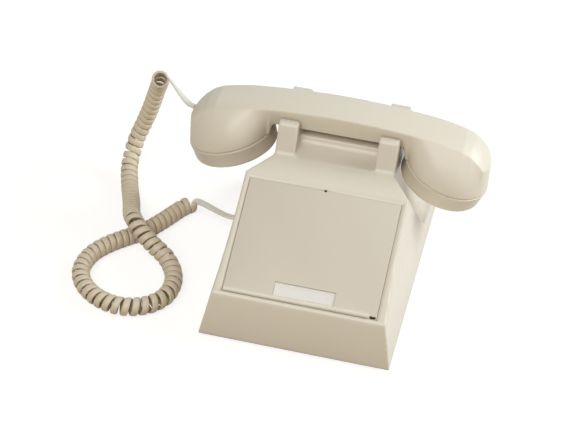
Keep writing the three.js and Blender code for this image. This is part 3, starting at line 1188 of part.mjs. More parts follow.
const base = new THREE.Group();
base.position.x = BASE_X;
base.add(
  named('housing', housing(), SHELL_COLOR, 0.45),
  slopeGroup(
    named('faceplate', faceplate(), TAN_COLOR, 0.5),
    named('designation_card', designationCard(), CARD_COLOR, 0.8),
    glazed('card_window', cardWindow())),
  named('base_plate', basePlate(), STEEL_COLOR, 0.4, 0.8),
  ...Object.entries(FOOT_PLACES).map(([name, place]) => named(name, foot(place), RUBBER_COLOR, 0.9)),
  ...Object.entries(SCREW_PLACES).map(([name, place]) => named(
    name, housingScrew(place), STEEL_COLOR, 0.3, 0.9)),
  named('base_jack', atBaseJack(jackBody(PLUG_WIDTH)), DARK_COLOR, 0.6),
  named('line_jack', atLineJack(jackBody(LINE_SOCKET_WIDTH)), DARK_COLOR, 0.6),
  named('plunger_left', plunger(-1), IVORY_COLOR, 0.4),
  named('plunger_right', plunger(1), IVORY_COLOR, 0.4),
  named('hookswitch_lever', hookLever(), STEEL_COLOR, 0.35, 0.9),
  named('hookswitch_pin', pivotPin(), STEEL_COLOR, 0.3, 0.9),
  named('hookswitch_bracket', hookBracket(), STEEL_COLOR, 0.4, 0.9),
  named('hookswitch_contacts', switchContacts(), DARK_COLOR, 0.6),
  named('ringer_frame', ringerFrame(), STEEL_COLOR, 0.4, 0.9),
  named('ringer_coil', ringerCoil(), DARK_COLOR, 0.6),
  named('gong_low', gong(-GONG_X, GONG_LOW_RADIUS), BRASS_COLOR, 0.3, 0.9),
  named('gong_high', gong(GONG_X, GONG_HIGH_RADIUS), BRASS_COLOR, 0.3, 0.9),
  named('gong_screw_low', gongScrew(-1), STEEL_COLOR, 0.3, 0.9),
  named('gong_screw_high', gongScrew(1), STEEL_COLOR, 0.3, 0.9),
  named('clapper', clapper(), STEEL_COLOR, 0.3, 0.9),
  named('network_block', networkBlock(), DARK_COLOR, 0.6),
  named('volume_wheel', volumeWheel(), RUBBER_COLOR, 0.6),
  glazed('base_plug', atBaseJack(plugBody())),
);

const handset = new THREE.Group();
handset.add(
  named('handset_shell', handsetShell(), SHELL_COLOR, 0.4),
  named('transmitter_cap', earCap(-1, 2), SHELL_COLOR, 0.4),
  named('receiver_cap', earCap(1, 1), SHELL_COLOR, 0.4),
  named('transmitter_unit', capsule(-1, 14), STEEL_COLOR, 0.4, 0.8),
  named('receiver_unit', capsule(1, 18), STEEL_COLOR, 0.4, 0.8),
  named('transmitter_holder', transmitterHolder(), DARK_COLOR, 0.6),
  named('handset_jack', atHandsetJack(jackBody(PLUG_WIDTH)), DARK_COLOR, 0.6),
  glazed('handset_plug', atHandsetJack(plugBody())),
);

const phone = new THREE.Group();
phone.add(base, handset, named('handset_cord', curlyCord(), CORD_COLOR, 0.45));

export default phone;
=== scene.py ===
"""Corded desk telephone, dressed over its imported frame.

Lengths are millimetres in this file and become metres when a mesh is made. The base stands
BASE_X to the right of the handset's middle, which is x = 0.
"""

import json
import logging
import math
from dataclasses import dataclass
from enum import Enum
from functools import cache
from typing import Callable, Iterable, Sequence

import bmesh
import bpy
import numpy as np
from mathutils import Matrix, Vector

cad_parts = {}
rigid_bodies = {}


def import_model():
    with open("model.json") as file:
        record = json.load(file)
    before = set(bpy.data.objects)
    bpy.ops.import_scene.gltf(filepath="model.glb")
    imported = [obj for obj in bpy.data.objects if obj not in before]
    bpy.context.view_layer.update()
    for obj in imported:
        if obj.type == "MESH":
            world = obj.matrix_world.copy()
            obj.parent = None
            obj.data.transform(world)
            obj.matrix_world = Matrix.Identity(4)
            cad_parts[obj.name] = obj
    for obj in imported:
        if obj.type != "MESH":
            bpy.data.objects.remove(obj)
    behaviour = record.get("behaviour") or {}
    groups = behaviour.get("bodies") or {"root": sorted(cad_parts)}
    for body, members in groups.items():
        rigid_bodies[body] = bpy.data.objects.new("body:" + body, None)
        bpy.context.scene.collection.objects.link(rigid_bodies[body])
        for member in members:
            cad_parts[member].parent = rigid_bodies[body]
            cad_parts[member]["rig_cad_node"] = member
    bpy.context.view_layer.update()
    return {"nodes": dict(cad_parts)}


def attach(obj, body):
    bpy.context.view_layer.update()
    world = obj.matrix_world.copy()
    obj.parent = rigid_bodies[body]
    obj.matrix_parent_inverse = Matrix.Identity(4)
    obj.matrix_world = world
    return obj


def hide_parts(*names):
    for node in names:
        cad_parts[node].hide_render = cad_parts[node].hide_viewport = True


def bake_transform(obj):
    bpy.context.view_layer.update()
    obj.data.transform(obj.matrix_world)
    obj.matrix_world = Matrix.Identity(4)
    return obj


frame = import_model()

log = logging.getLogger("telephone")

Point = Sequence[float]
Outline = list[tuple[float, float]]
Faces = list[tuple[int, ...]]
Color = tuple[int, int, int]
Item = bpy.types.Object
Node = bpy.types.Node
Socket = bpy.types.NodeSocket
Tree = bpy.types.NodeTree
Outlet = tuple[np.ndarray, np.ndarray]

MM = 0.001
BASE_X = 2.3
CRADLE_Y = 44.0
SEAT_GAP = 0.3
ON_AXIS = 1e-6  # a radius below this is a point on the axis
REACH = 20.0  # how far a cutting form runs past what it cuts
QUARTER_TURN = math.pi / 2
SIDES = (-1, 1)  # left, right
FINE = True


# ---------------------------------------------------------------------------
# Small tools for numbers
# ---------------------------------------------------------------------------


def lerp(a: float, b: float, t: float) -> float:
    """The value a fraction t of the way from a to b."""
    return a + (b - a) * t


def remap(value: float, a0: float, a1: float, b0: float, b1: float) -> float:
    """value carried from the range a0..a1 to the range b0..b1."""
    return b0 + (value - a0) * (b1 - b0) / (a1 - a0)


def smoothstep(value: float, low: float, high: float) -> float:
    """0 below low, 1 above high, and smooth between."""
    t = min(max((value - low) / (high - low), 0.0), 1.0)
    return t * t * (3 - 2 * t)


def linear(color: Sequence[int]) -> tuple[float, float, float, float]:
    """An 8-bit display colour as the linear colour that Blender's sockets hold.

    Args:
        color: red, green and blue, 0 to 255.

    Returns:
        Linear red, green and blue, and an alpha of 1.
    """
    parts = [c / 255 for c in color]
    done = [c / 12.92 if c <= 0.04045 else ((c + 0.055) / 1.055) ** 2.4 for c in parts]
    return (done[0], done[1], done[2], 1.0)


def signed_power(value: float, power: float) -> float:
    """The value's size raised to a power, with its sign kept."""
    return math.copysign(abs(value) ** power, value)


def unit(ways: np.ndarray) -> np.ndarray:
    """One vector, or each row of many, at length 1."""
    return ways / np.linalg.norm(ways, axis=-1, keepdims=True)


def quarter(count: int, place: Callable[[float], tuple[float, float]]) -> Outline:
    """Points placed at count equal steps of a quarter turn."""
    return [place(QUARTER_TURN * i / count) for i in range(count + 1)]


# ---------------------------------------------------------------------------
# Small tools for meshes
# ---------------------------------------------------------------------------


class Cut(Enum):
    """How one solid acts on another."""

    AWAY = "DIFFERENCE"
    ADD = "UNION"
    COMMON = "INTERSECT"


def show(name: str, data: bpy.types.ID) -> Item:
    """Puts a mesh, a lamp or a camera into the scene.

    Args:
        name: the object's name.
        data: what it shows.

    Returns:
        The new object.
    """
    obj = bpy.data.objects.new(name, data)
    bpy.context.scene.collection.objects.link(obj)
    return obj


def make_object(name: str, points: Iterable[Point], faces: Faces) -> Item:
    """A mesh object from its corners and faces.

    Args:
        name: the object's name.
        points: corners, in millimetres.
        faces: corner numbers of each face.

    Returns:
        The new object, linked to the scene, with its faces turned outwards.
    """
    mesh = bpy.data.meshes.new(name)
    mesh.from_pydata([[c * MM for c in p] for p in points], [], faces)
    work = bmesh.new()
    work.from_mesh(mesh)
    bmesh.ops.recalc_face_normals(work, faces=work.faces)
    work.to_mesh(mesh)
    work.free()
    return show(name, mesh)


def loft(name: str, rings: Sequence[Sequence[Point]]) -> Item:
    """A solid through rings of equally many points.

    Args:
        name: the object's name.
        rings: the rings in order, which the ends close.

    Returns:
        The solid.
    """
    count = len(rings[0])
    faces: Faces = []
    for r in range(len(rings) - 1):
        low, high = r * count, (r + 1) * count
        for i in range(count):
            j = (i + 1) % count
            faces.append((low + i, low + j, high + j, high + i))
    last = (len(rings) - 1) * count
    faces.append(tuple(reversed(range(count))))
    faces.append(tuple(range(last, last + count)))
    return make_object(name, [p for ring in rings for p in ring], faces)


def prism_x(name: str, outline: Outline, low: float, high: float) -> Item:
    """A prism along X over a (y, z) outline."""
    return loft(name, [[(x, y, z) for y, z in outline] for x in (low, high)])


def block(name: str, low: Point, high: Point, soft: float = 0.0) -> Item:
    """A box between two corners.

    Args:
        name: the object's name.
        low: its lowest corner.
        high: its highest corner.
        soft: radius that its edges are rounded to.

    Returns:
        The box.
    """
    corners = [(x, y, z) for z in (low[2], high[2]) for y in (low[1], high[1]) for x in (low[0], high[0])]
    faces = [(0, 1, 3, 2), (4, 6, 7, 5), (0, 4, 5, 1), (2, 3, 7, 6), (0, 2, 6, 4), (1, 5, 7, 3)]
    obj = make_object(name, corners, faces)
    if soft > 0:
        soften(obj, soft)
    return obj


def turned(name: str, profile: Outline, segments: int = 96) -> Item:
    """A profile revolved about Z.

    Args:
        name: the object's name.
        profile: its (radius, height) points. One that returns to its start makes a ring.
        segments: how many steps a full turn has.

    Returns:
        The turned solid.
    """
    closed = profile[0] == profile[-1]
    rows = profile[:-1] if closed else profile
    points: list[Point] = []
    index: list[list[int]] = []
    for radius, height in rows:
        if radius < ON_AXIS:
            index.append([len(points)] * segments)
            points.append((0.0, 0.0, height))
            continue
        index.append([len(points) + i for i in range(segments)])
        turns = [math.tau * i / segments for i in range(segments)]
        points += [(radius * math.cos(a), radius * math.sin(a), height) for a in turns]
    faces: Faces = []
    for r in range(len(rows) if closed else len(rows) - 1):
        a, b = index[r], index[(r + 1) % len(rows)]
        for i in range(segments):
            j = (i + 1) % segments
            corners = [a[i], a[j], b[j], b[i]]
            face = tuple(dict.fromkeys(corners))
            if len(face) > 2:
                faces.append(face)
    return make_object(name, points, faces)


def rod(name: str, radius: float, low: float, high: float, segments: int) -> Item:
    """A round bar about Z between two heights."""
    return turned(name, [(0, low), (radius, low), (radius, high), (0, high)], segments)


def place(obj: Item, matrix: Matrix) -> Item:
    """Moves an object's mesh.

    Args:
        obj: the object.
        matrix: the move, its shift in millimetres.

    Returns:
        The same object.
    """
    moved = matrix.copy()
    moved.translation = moved.translation * MM
    obj.data.transform(moved)
    return obj


def shift(obj: Item, x: float = 0.0, y: float = 0.0, z: float = 0.0) -> Item:
    """Moves an object's mesh by millimetres."""
    return place(obj, Matrix.Translation((x, y, z)))


def settle(obj: Item) -> Item:
    """Writes an object's modifiers into its mesh.

    Args:
        obj: the object.

    Returns:
        The same object, without modifiers.
    """
    bpy.context.view_layer.update()
    evaluated = obj.evaluated_get(bpy.context.evaluated_depsgraph_get())
    mesh = bpy.data.meshes.new_from_object(evaluated)
    old = obj.data
    obj.modifiers.clear()
    obj.data = mesh
    mesh.name = obj.name
    bpy.data.meshes.remove(old)
    return obj


def carve(body: Item, tools: Iterable[Item], how: Cut = Cut.AWAY) -> Item:
    """Cuts, adds or intersects solids, and removes the tools.

    Args:
        body: the solid that is changed.
        tools: the solids that act on it.
        how: what they do.

    Returns:
        The changed body.
    """
    for tool in tools:
        modifier = body.modifiers.new("solid", "BOOLEAN")
        modifier.operation = how.value
        modifier.solver = "MANIFOLD"
        modifier.object = tool
        settle(body)
        if not body.data.polygons:
            raise RuntimeError(f"{body.name}: nothing is left after {tool.name}")
        bpy.data.objects.remove(tool)
    return body


def soften(obj: Item, radius: float, segments: int = 3, angle: float = 30.0) -> Item:
    """Rounds the edges that are sharper than an angle.

    Args:
        obj: the solid.
        radius: of the rounding, in millimetres.
        segments: how many steps the rounding has.
        angle: in degrees.

    Returns:
        The same object.
    """
    modifier = obj.modifiers.new("round", "BEVEL")
    modifier.width = radius * MM
    modifier.segments = segments
    modifier.limit_method = "ANGLE"
    modifier.angle_limit = math.radians(angle)
    modifier.use_clamp_overlap = True
    return settle(obj)


def mould(obj: Item, grid: float, rounds: int) -> Item:
    """Turns a sharp solid into one with moulded, softly rounded edges.

    Args:
        obj: the solid.
        grid: spacing of the even mesh that it gets, in millimetres.
        rounds: how often the mesh is relaxed, which sets the radius of its edges.

    Returns:
        The same object.
    """
    remesh = obj.modifiers.new("even mesh", "REMESH")
    remesh.mode = "VOXEL"
    remesh.voxel_size = grid * MM
    relax = obj.modifiers.new("relax", "SMOOTH")
    relax.factor = 0.5
    relax.iterations = rounds
    return settle(obj)


def jack_space() -> Item:
    """The space of a modular jack, its mouth towards +Z."""
    return block("jack_space", (-6.8, -5.8, -21), (6.8, 5.8, 10))


def looking_out(at: Point, turn: float) -> Matrix:
    """The place of a jack that looks level, from straight ahead turned about Z."""
    return Matrix.Translation(at) @ Matrix.Rotation(turn, 4, "Z") @ Matrix.Rotation(QUARTER_TURN, 4, "X")


def shade(obj: Item, angle: float = 35.0) -> Item:
    """Smooth shading with sharp edges.

    Args:
        obj: the object.
        angle: above this angle, in degrees, an edge stays sharp.

    Returns:
        The same object.
    """
    obj.data.shade_smooth()
    obj.data.set_sharp_from_angle(angle=math.radians(angle))
    return obj


# ---------------------------------------------------------------------------
# Shared effects of the finishes
# ---------------------------------------------------------------------------


class NodeSheet:
    """A small helper that adds and joins nodes in one tree."""

    def __init__(self, tree: Tree) -> None:
        """Takes the tree to write in."""
        self.tree = tree

    def fill(self, node: Node, inputs: dict[str | int, object]) -> Node:
        """Fills a node's sockets.

        Args:
            node: the node.
            inputs: a socket's name or number, and its value or another node's output.

        Returns:
            The same node.
        """
        for name, value in inputs.items():
            if isinstance(value, Socket):
                self.tree.links.new(value, node.inputs[name])
            else:
                node.inputs[name].default_value = value
        return node

    def add(self, kind: str, inputs: dict[str | int, object] | None = None, **settings: object) -> Node:
        """Adds a node.

        Args:
            kind: its type in Blender.
            inputs: what its sockets get, as in fill.
            settings: the node's own properties.

        Returns:
            The new node.
        """
        node = self.tree.nodes.new(kind)
        for name, value in settings.items():
            setattr(node, name, value)
        return self.fill(node, inputs or {})

    def math(self, operation: str, a: object, b: object = 0.0, clamp: bool = False) -> Socket:
        """The output of a Math node on two values or sockets."""
        return self.add("ShaderNodeMath", {0: a, 1: b}, operation=operation, use_clamp=clamp).outputs[0]

    def mix(self, factor: object, a: object, b: object) -> Socket:
        """The output of a colour Mix node."""
        return self.add("ShaderNodeMix", {0: factor, 6: a, 7: b}, data_type="RGBA").outputs[2]

    def blend(self, factor: Socket, plain: Socket, other: Socket) -> Socket:
        """The output of a Mix Shader node, which is other where the factor is 1."""
        return self.add("ShaderNodeMixShader", {0: factor, 1: plain, 2: other}).outputs[0]

    def noise(self, at: Socket, scale: object, detail: float = 2.0) -> Socket:
        """The factor of a Noise Texture over some coordinates."""
        inputs = {"Vector": at, "Scale": scale, "Detail": detail, "Roughness": 0.5}
        return self.add("ShaderNodeTexNoise", inputs).outputs["Fac"]

    def place(self) -> Socket:
        """Coordinates that stay with the object."""
        return self.add("ShaderNodeTexCoord").outputs["Object"]

    def bump(self, height: Socket, strength: float, depth: float) -> Socket:
        """The normal of a height that is depth metres deep."""
        inputs = {"Height": height, "Strength": strength, "Distance": depth}
        return self.add("ShaderNodeBump", inputs).outputs[0]


def new_group(name: str, inputs: dict[str, object], outputs: Sequence[str]) -> tuple[NodeSheet, Node, Node]:
    """A shader node group with named sockets.

    Args:
        name: the group's name.
        inputs: name and default of each input. A default of four numbers makes a colour.
        outputs: name of each output. Color is a colour, and the others are numbers.

    Returns:
        A sheet to write in the group, its input node and its output node.
    """
    group = bpy.data.node_groups.new(name, "ShaderNodeTree")
    for label, default in inputs.items():
        kind = "NodeSocketColor" if isinstance(default, tuple) else "NodeSocketFloat"
        group.interface.new_socket(label, in_out="INPUT", socket_type=kind).default_value = default
    for label in outputs:
        kind = "NodeSocketColor" if label == "Color" else "NodeSocketFloat"
        group.interface.new_socket(label, in_out="OUTPUT", socket_type=kind)
    sheet = NodeSheet(group)
    return sheet, sheet.add("NodeGroupInput"), sheet.add("NodeGroupOutput")


def seen_directly(sheet: NodeSheet) -> Socket:
    """Tells the camera's rays from the light on things.

    Args:
        sheet: the sheet of a floor's material or of the world.

    Returns:
        1 for what is seen straight, mirrored or through clear plastic, and 0 for the rest.
    """
    path = sheet.add("ShaderNodeLightPath").outputs
    mirrored = sheet.math("MAXIMUM", path["Is Glossy Ray"], path["Is Transmission Ray"])
    return sheet.math("MAXIMUM", path["Is Camera Ray"], mirrored)


@cache
def mould_grain() -> Tree:
    """The fine pebble and faint flow of a moulded surface.

    Returns:
        The group, which puts out Height for a bump, and Roughness.
    """
    inputs = {"Scale": 1800.0, "Roughness": 0.4, "Spread": 0.08}
    sheet, group_in, out = new_group("mould_grain", inputs, ("Height", "Roughness"))
    given = group_in.outputs
    at = sheet.place()
    pebble = sheet.noise(at, given["Scale"], 3.0)
    flow = sheet.noise(at, sheet.math("MULTIPLY", given["Scale"], 0.06))
    swing = sheet.math("MULTIPLY", sheet.math("SUBTRACT", flow, 0.5), given["Spread"])
    sheet.fill(out, {
        "Height": sheet.math("ADD", pebble, sheet.math("MULTIPLY", flow, 0.35)),
        "Roughness": sheet.math("ADD", given["Roughness"], swing, clamp=True),
    })
    return sheet.tree


@cache
def aged_tone() -> Tree:
    """Slow drifts of an aged plastic's colour, painted brown shade in its hollows, faint dust on what faces
    up.

    Returns:
        The group, which puts out Color.
    """
    inputs = {"Color": (0.6, 0.6, 0.5, 1), "Aged": (0.5, 0.5, 0.4, 1)}
    inputs |= {"Amount": 0.5, "Dust": 0.1, "PaintedShade": 0.2}
    sheet, group_in, out = new_group("aged_tone", inputs, ("Color",))
    given = group_in.outputs
    shade_brown, dust = (0.27, 0.17, 0.10, 1), (0.72, 0.70, 0.66, 1)
    at = sheet.place()
    speck = sheet.noise(at, 260.0, 4.0)
    cloud = sheet.math("MULTIPLY", sheet.noise(at, 14.0, 3.0), 0.75)
    patch = sheet.math("ADD", cloud, sheet.math("MULTIPLY", speck, 0.25))
    worn = sheet.math("MULTIPLY", patch, given["Amount"], clamp=True)
    toned = sheet.mix(worn, given["Color"], given["Aged"])
    # Painted shade: ambient occlusion browns the colour in hollows, creases and under parts, where shade
    # falls.
    open_sky = sheet.add("ShaderNodeAmbientOcclusion", {"Distance": 0.045}, samples=6).outputs["AO"]
    hollow = sheet.math("MULTIPLY", sheet.math("SUBTRACT", 1.0, open_sky), given["PaintedShade"], clamp=True)
    normal = sheet.add("ShaderNodeNewGeometry").outputs["Normal"]
    up = sheet.add("ShaderNodeSeparateXYZ", {"Vector": normal}).outputs["Z"]
    lying = sheet.math("MULTIPLY", sheet.math("MULTIPLY", up, speck, clamp=True), given["Dust"], clamp=True)
    sheet.fill(out, {"Color": sheet.mix(lying, sheet.mix(hollow, toned, shade_brown), dust)})
    return sheet.tree


@cache
def drawn_metal() -> Tree:
    """Rolled and plated sheet with its stains and drawing lines.

    Returns:
        The group, which puts out Color, Roughness and Height.
    """
    inputs = {"Color": (0.6, 0.6, 0.6, 1), "Stain": (0.4, 0.38, 0.33, 1), "Roughness": 0.35}
    sheet, group_in, out = new_group("drawn_metal", inputs, ("Color", "Roughness", "Height"))
    given = group_in.outputs
    at = sheet.place()
    stretched = sheet.add("ShaderNodeMapping", {"Vector": at, "Scale": (60.0, 2400.0, 2400.0)}).outputs[0]
    lines = sheet.noise(stretched, 1.0)
    blot = sheet.math("SUBTRACT", sheet.noise(at, 45.0, 4.0), 0.45, clamp=True)
    stain = sheet.math("MULTIPLY", blot, 1.6, clamp=True)
    sheet.fill(out, {
        "Color": sheet.mix(stain, given["Color"], given["Stain"]),
        "Roughness": sheet.math("ADD", given["Roughness"], sheet.math("MULTIPLY", lines, 0.15), clamp=True),
        "Height": lines,
    })
    return sheet.tree


# ---------------------------------------------------------------------------
# Finishes
# ---------------------------------------------------------------------------


@dataclass(frozen=True)
class Finish:
    """A surface that is made once and put on any number of pieces."""

    name: str
    slot: str

    def dress(self, sheet: NodeSheet, surface: Node) -> None:
        """Writes this finish's own nodes round its surface shader; each kind has its own."""
        raise NotImplementedError(self.name)

    @cache
    def material(self) -> bpy.types.Material:
        """The finish's material, made on first use.

        Returns:
            The material, with this finish's nodes.
        """
        made = bpy.data.materials.new(self.name)
        made.use_nodes = True
        made.node_tree.nodes.clear()
        sheet = NodeSheet(made.node_tree)
        surface = sheet.add("ShaderNodeBsdfPrincipled")
        sheet.add("ShaderNodeOutputMaterial", {"Surface": surface.outputs[0]})
        self.dress(sheet, surface)
        return made

    def put_on(self, obj: Item) -> Item:
        """Gives the whole of one object this finish.

        Args:
            obj: a new piece, or a frame node that keeps its shape.

        Returns:
            The same object.
        """
        if not obj.material_slots:
            obj.data.materials.append(None)
        for entry in obj.material_slots:
            entry.material = self.material()
        return obj


@dataclass(frozen=True)
class FromFrame(Finish):
    """A plain finish that the frame brings with its nodes."""

    def material(self) -> bpy.types.Material:
        """The frame's own material of this name."""
        return bpy.data.materials[self.name]


@dataclass(frozen=True)
class Plastic(Finish):
    """Moulded thermoplastic with a fine grain, slow drifts of colour, a little dust and painted shade in its
    hollows.
    """

    color: Color
    aged: Color
    roughness: float = 0.4
    ageing: float = 0.5
    dust: float = 0.12
    # how strongly painted shade browns the hollows
    painted_shade: float = 0.1
    grain: float = 1800.0
    depth: float = 0.06
    coat: float = 0.0

    def dress(self, sheet: NodeSheet, surface: Node) -> None:
        """Joins the aged tone and the mould grain to the surface.

        Args:
            sheet: the material's sheet.
            surface: its surface shader.
        """
        look = {
            "Color": linear(self.color),
            "Aged": linear(self.aged),
            "Amount": self.ageing,
            "Dust": self.dust,
            # the strength of the painted shade in the hollows
            "PaintedShade": self.painted_shade,
        }
        tone = sheet.add("ShaderNodeGroup", look, node_tree=aged_tone())
        feel = {"Scale": self.grain, "Roughness": self.roughness}
        skin = sheet.add("ShaderNodeGroup", feel, node_tree=mould_grain())
        sheet.fill(surface, {
            "Base Color": tone.outputs["Color"],
            "Roughness": skin.outputs["Roughness"],
            "Normal": sheet.bump(skin.outputs["Height"], 0.35, self.depth * MM),
            "IOR": 1.5,
            "Coat Weight": self.coat,
            "Coat Roughness": 0.2,
        })


@dataclass(frozen=True)
class Metal(Finish):
    """Plated sheet or turned brass with drawing lines and a few stains."""

    color: Color
    stain: Color = (120, 112, 98)
    roughness: float = 0.32

    def dress(self, sheet: NodeSheet, surface: Node) -> None:
        """Joins the drawn metal to the surface.

        Args:
            sheet: the material's sheet.
            surface: its surface shader.
        """
        look = {"Color": linear(self.color), "Stain": linear(self.stain), "Roughness": self.roughness}
        drawn = sheet.add("ShaderNodeGroup", look, node_tree=drawn_metal())
        sheet.fill(surface, {
            "Base Color": drawn.outputs["Color"],
            "Roughness": drawn.outputs["Roughness"],
            "Normal": sheet.bump(drawn.outputs["Height"], 0.25, 0.04 * MM),
            "Metallic": 1.0,
        })


@dataclass(frozen=True)
class Clear(Finish):
    """Clear plastic, faintly frosted by its grain: a solid piece, or a thin film when its alpha is low."""

    color: Color
    roughness: float = 0.08
    through: float = 1.0
    alpha: float = 1.0

    def dress(self, sheet: NodeSheet, surface: Node) -> None:
        """Sets the clear body and joins the mould grain's height.

        Args:
            sheet: the material's sheet.
            surface: its surface shader.
        """
        feel = {"Scale": 900.0, "Roughness": self.roughness, "Spread": 0.04}
        skin = sheet.add("ShaderNodeGroup", feel, node_tree=mould_grain())
        sheet.fill(surface, {
            "Base Color": linear(self.color),
            "Roughness": skin.outputs["Roughness"],
            "Normal": sheet.bump(skin.outputs["Height"], 0.1, 0.03 * MM),
            "Transmission Weight": self.through,
            "Alpha": self.alpha,
            "IOR": 1.46,
        })


# A finish whose nodes are written here never has the name of a frame material.
# The shell and handset finishes carry painted shade that browns their hollows.
SHELL = Plastic(
    "housing_finish", "shell_plastic", (236, 231, 219), (227, 218, 200), 0.32, coat=0.08, painted_shade=0.5
)
HANDSET = Plastic(
    "handset_finish", "shell_plastic", (238, 232, 219), (228, 220, 200), 0.42, coat=0.06, painted_shade=0.12
)
PLATE = Plastic("faceplate_finish", "plate_plastic", (225, 218, 205), (217, 208, 191), 0.36)
CARD = Plastic(
    "card_stock", "card", (255, 255, 255), (253, 253, 252), 0.75, dust=0.0, grain=5200.0, depth=0.03
)
PLUG = Clear("plug_clear", "clear_plastic", (244, 245, 242))
WINDOW = Clear("clear_film", "clear_plastic", (252, 252, 250), through=0.0, alpha=0.04)
STEEL = Metal("plated_steel", "steel", (196, 197, 199))
BRASS = Metal("bell_brass", "brass", (214, 178, 104), (140, 104, 54), 0.26)
BLACK = Plastic("black_plastic", "dark_plastic", (44, 43, 44), (54, 52, 50), 0.55, dust=0.15)
RUBBER = FromFrame("foot_rubber", "foot_rubber")
IVORY = Plastic("plunger_ivory", "ivory_plastic", (232, 227, 214), (224, 216, 198), 0.38)
LEAD = Plastic(
    "lead_jacket", "cord_jacket", (244, 243, 239), (230, 228, 222), 0.28, grain=1200.0, depth=0.04, coat=0.5
)
# The curl jacket carries painted shade that browns the gaps between its curls.
JACKET = Plastic(
    "curl_jacket", "cord_jacket", (236, 225, 203), (222, 207, 178), 0.42, painted_shade=0.4, grain=1200.0, depth=0.05
)


# ---------------------------------------------------------------------------
# Camera, light and floor
# ---------------------------------------------------------------------------


@dataclass(frozen=True)
class Lamp:
    """A soft square lamp: place, side and aim in metres, power in watts, linear colour."""

    name: str
    at: tuple[float, float, float]
    size: float
    power: float
    color: tuple[float, float, float]
    aim: tuple[float, float, float] = (-0.02, 0.0, 0.05)

    def put_up(self) -> None:
        """Adds the lamp to the scene."""
        data = bpy.data.lights.new(self.name, "AREA")
        data.size = self.size
        data.energy = self.power
        data.color = self.color
        obj = show(self.name, data)
        obj.location = self.at
        way = Vector(self.aim) - Vector(self.at)
        obj.rotation_euler = way.to_track_quat("-Z", "Y").to_euler()


@dataclass
class Studio:
    """The photograph's camera, soft lamps from the right and the front, a pale sky and a white table."""

    yaw: float = 10.287648388
    pitch: float = 37.680874257
    roll: float = 4.377224818
    distance: float = 1419.02876
    target: tuple[float, float, float] = (-25.10088 + BASE_X, 0.0, 44.73496)
    lens: float = 113.208
    sensor: float = 36.0
    clip: tuple[float, float] = (0.05, 30.0)
    lamps: tuple[Lamp, ...] = (
        Lamp("side_lamp", (1.2, 0.45, 0.85), 0.8, 15.5, (0.93, 0.98, 1.0)),
        Lamp("front_lamp", (-0.2, -1.05, 1.2), 0.9, 11.4, (1.0, 0.96, 0.89)),
    )
    sky: float = 0.21
    sky_color: tuple[float, ...] = (1.0, 0.94, 0.83, 1)
    table_half: float = 3000.0
    table_color: tuple[float, ...] = (0.55, 0.45, 0.33, 1)
    shadow_color: tuple[float, ...] = (0.40, 0.395, 0.385, 1)
    glow: float = 0.78
    white: tuple[float, ...] = (1, 1, 1, 1)

    def camera(self) -> Item:
        """Places the camera where the photograph was taken from.

        Returns:
            The camera.
        """
        a, e, r = (math.radians(v) for v in (self.yaw, self.pitch, self.roll))
        back = Vector((math.sin(a) * math.cos(e), -math.cos(a) * math.cos(e), math.sin(e)))
        right = Vector((math.cos(a), math.sin(a), 0.0))
        up = back.cross(right)
        across = right * math.cos(r) + up * math.sin(r)
        above = up * math.cos(r) - right * math.sin(r)
        eye = (Vector(self.target) + back * self.distance) * MM
        data = bpy.data.cameras.new("camera")
        data.sensor_width = self.sensor
        data.sensor_fit = "HORIZONTAL"
        data.lens = self.lens
        data.clip_start, data.clip_end = self.clip
        obj = show("camera", data)
        obj.matrix_world = Matrix(
            [[across[i], above[i], back[i], eye[i]] for i in range(3)] + [[0, 0, 0, 1]]
        )
        bpy.context.scene.camera = obj
        return obj

    def light(self) -> None:
        """The lamps and a plain pale sky."""
        for lamp in self.lamps:
            lamp.put_up()
        world = bpy.data.worlds.new("sky")
        bpy.context.scene.world = world
        world.use_nodes = True
        world.node_tree.nodes.clear()
        sheet = NodeSheet(world.node_tree)
        lit = sheet.add("ShaderNodeBackground", {"Color": self.sky_color, "Strength": self.sky})
        seen = sheet.add("ShaderNodeBackground", {"Color": self.white, "Strength": 1.0})
        mixed = sheet.blend(seen_directly(sheet), lit.outputs[0], seen.outputs[0])
        sheet.add("ShaderNodeOutputWorld", {"Surface": mixed})

    def floor(self) -> Item:
        """A white table that keeps the telephone's soft shadow.

        Returns:
            The table.
        """
        half = self.table_half
        corners = [(-half, -half, 0), (half, -half, 0), (half, half, 0), (-half, half, 0)]
        obj = make_object("table", corners, [(0, 1, 2, 3)])
        material = bpy.data.materials.new("white_table")
        material.use_nodes = True
        material.node_tree.nodes.clear()
        sheet = NodeSheet(material.node_tree)
        board = sheet.add("ShaderNodeBsdfDiffuse", {"Color": self.table_color})
        shaded = sheet.add("ShaderNodeBsdfDiffuse", {"Color": self.shadow_color})
        glow = sheet.add("ShaderNodeEmission", {"Color": self.white, "Strength": self.glow})
        seen = sheet.add("ShaderNodeAddShader", {0: shaded.outputs[0], 1: glow.outputs[0]})
        mixed = sheet.blend(seen_directly(sheet), board.outputs[0], seen.outputs[0])
        sheet.add("ShaderNodeOutputMaterial", {"Surface": mixed})
        obj.data.materials.append(material)
        return obj


# ---------------------------------------------------------------------------
# Curly cord
# ---------------------------------------------------------------------------


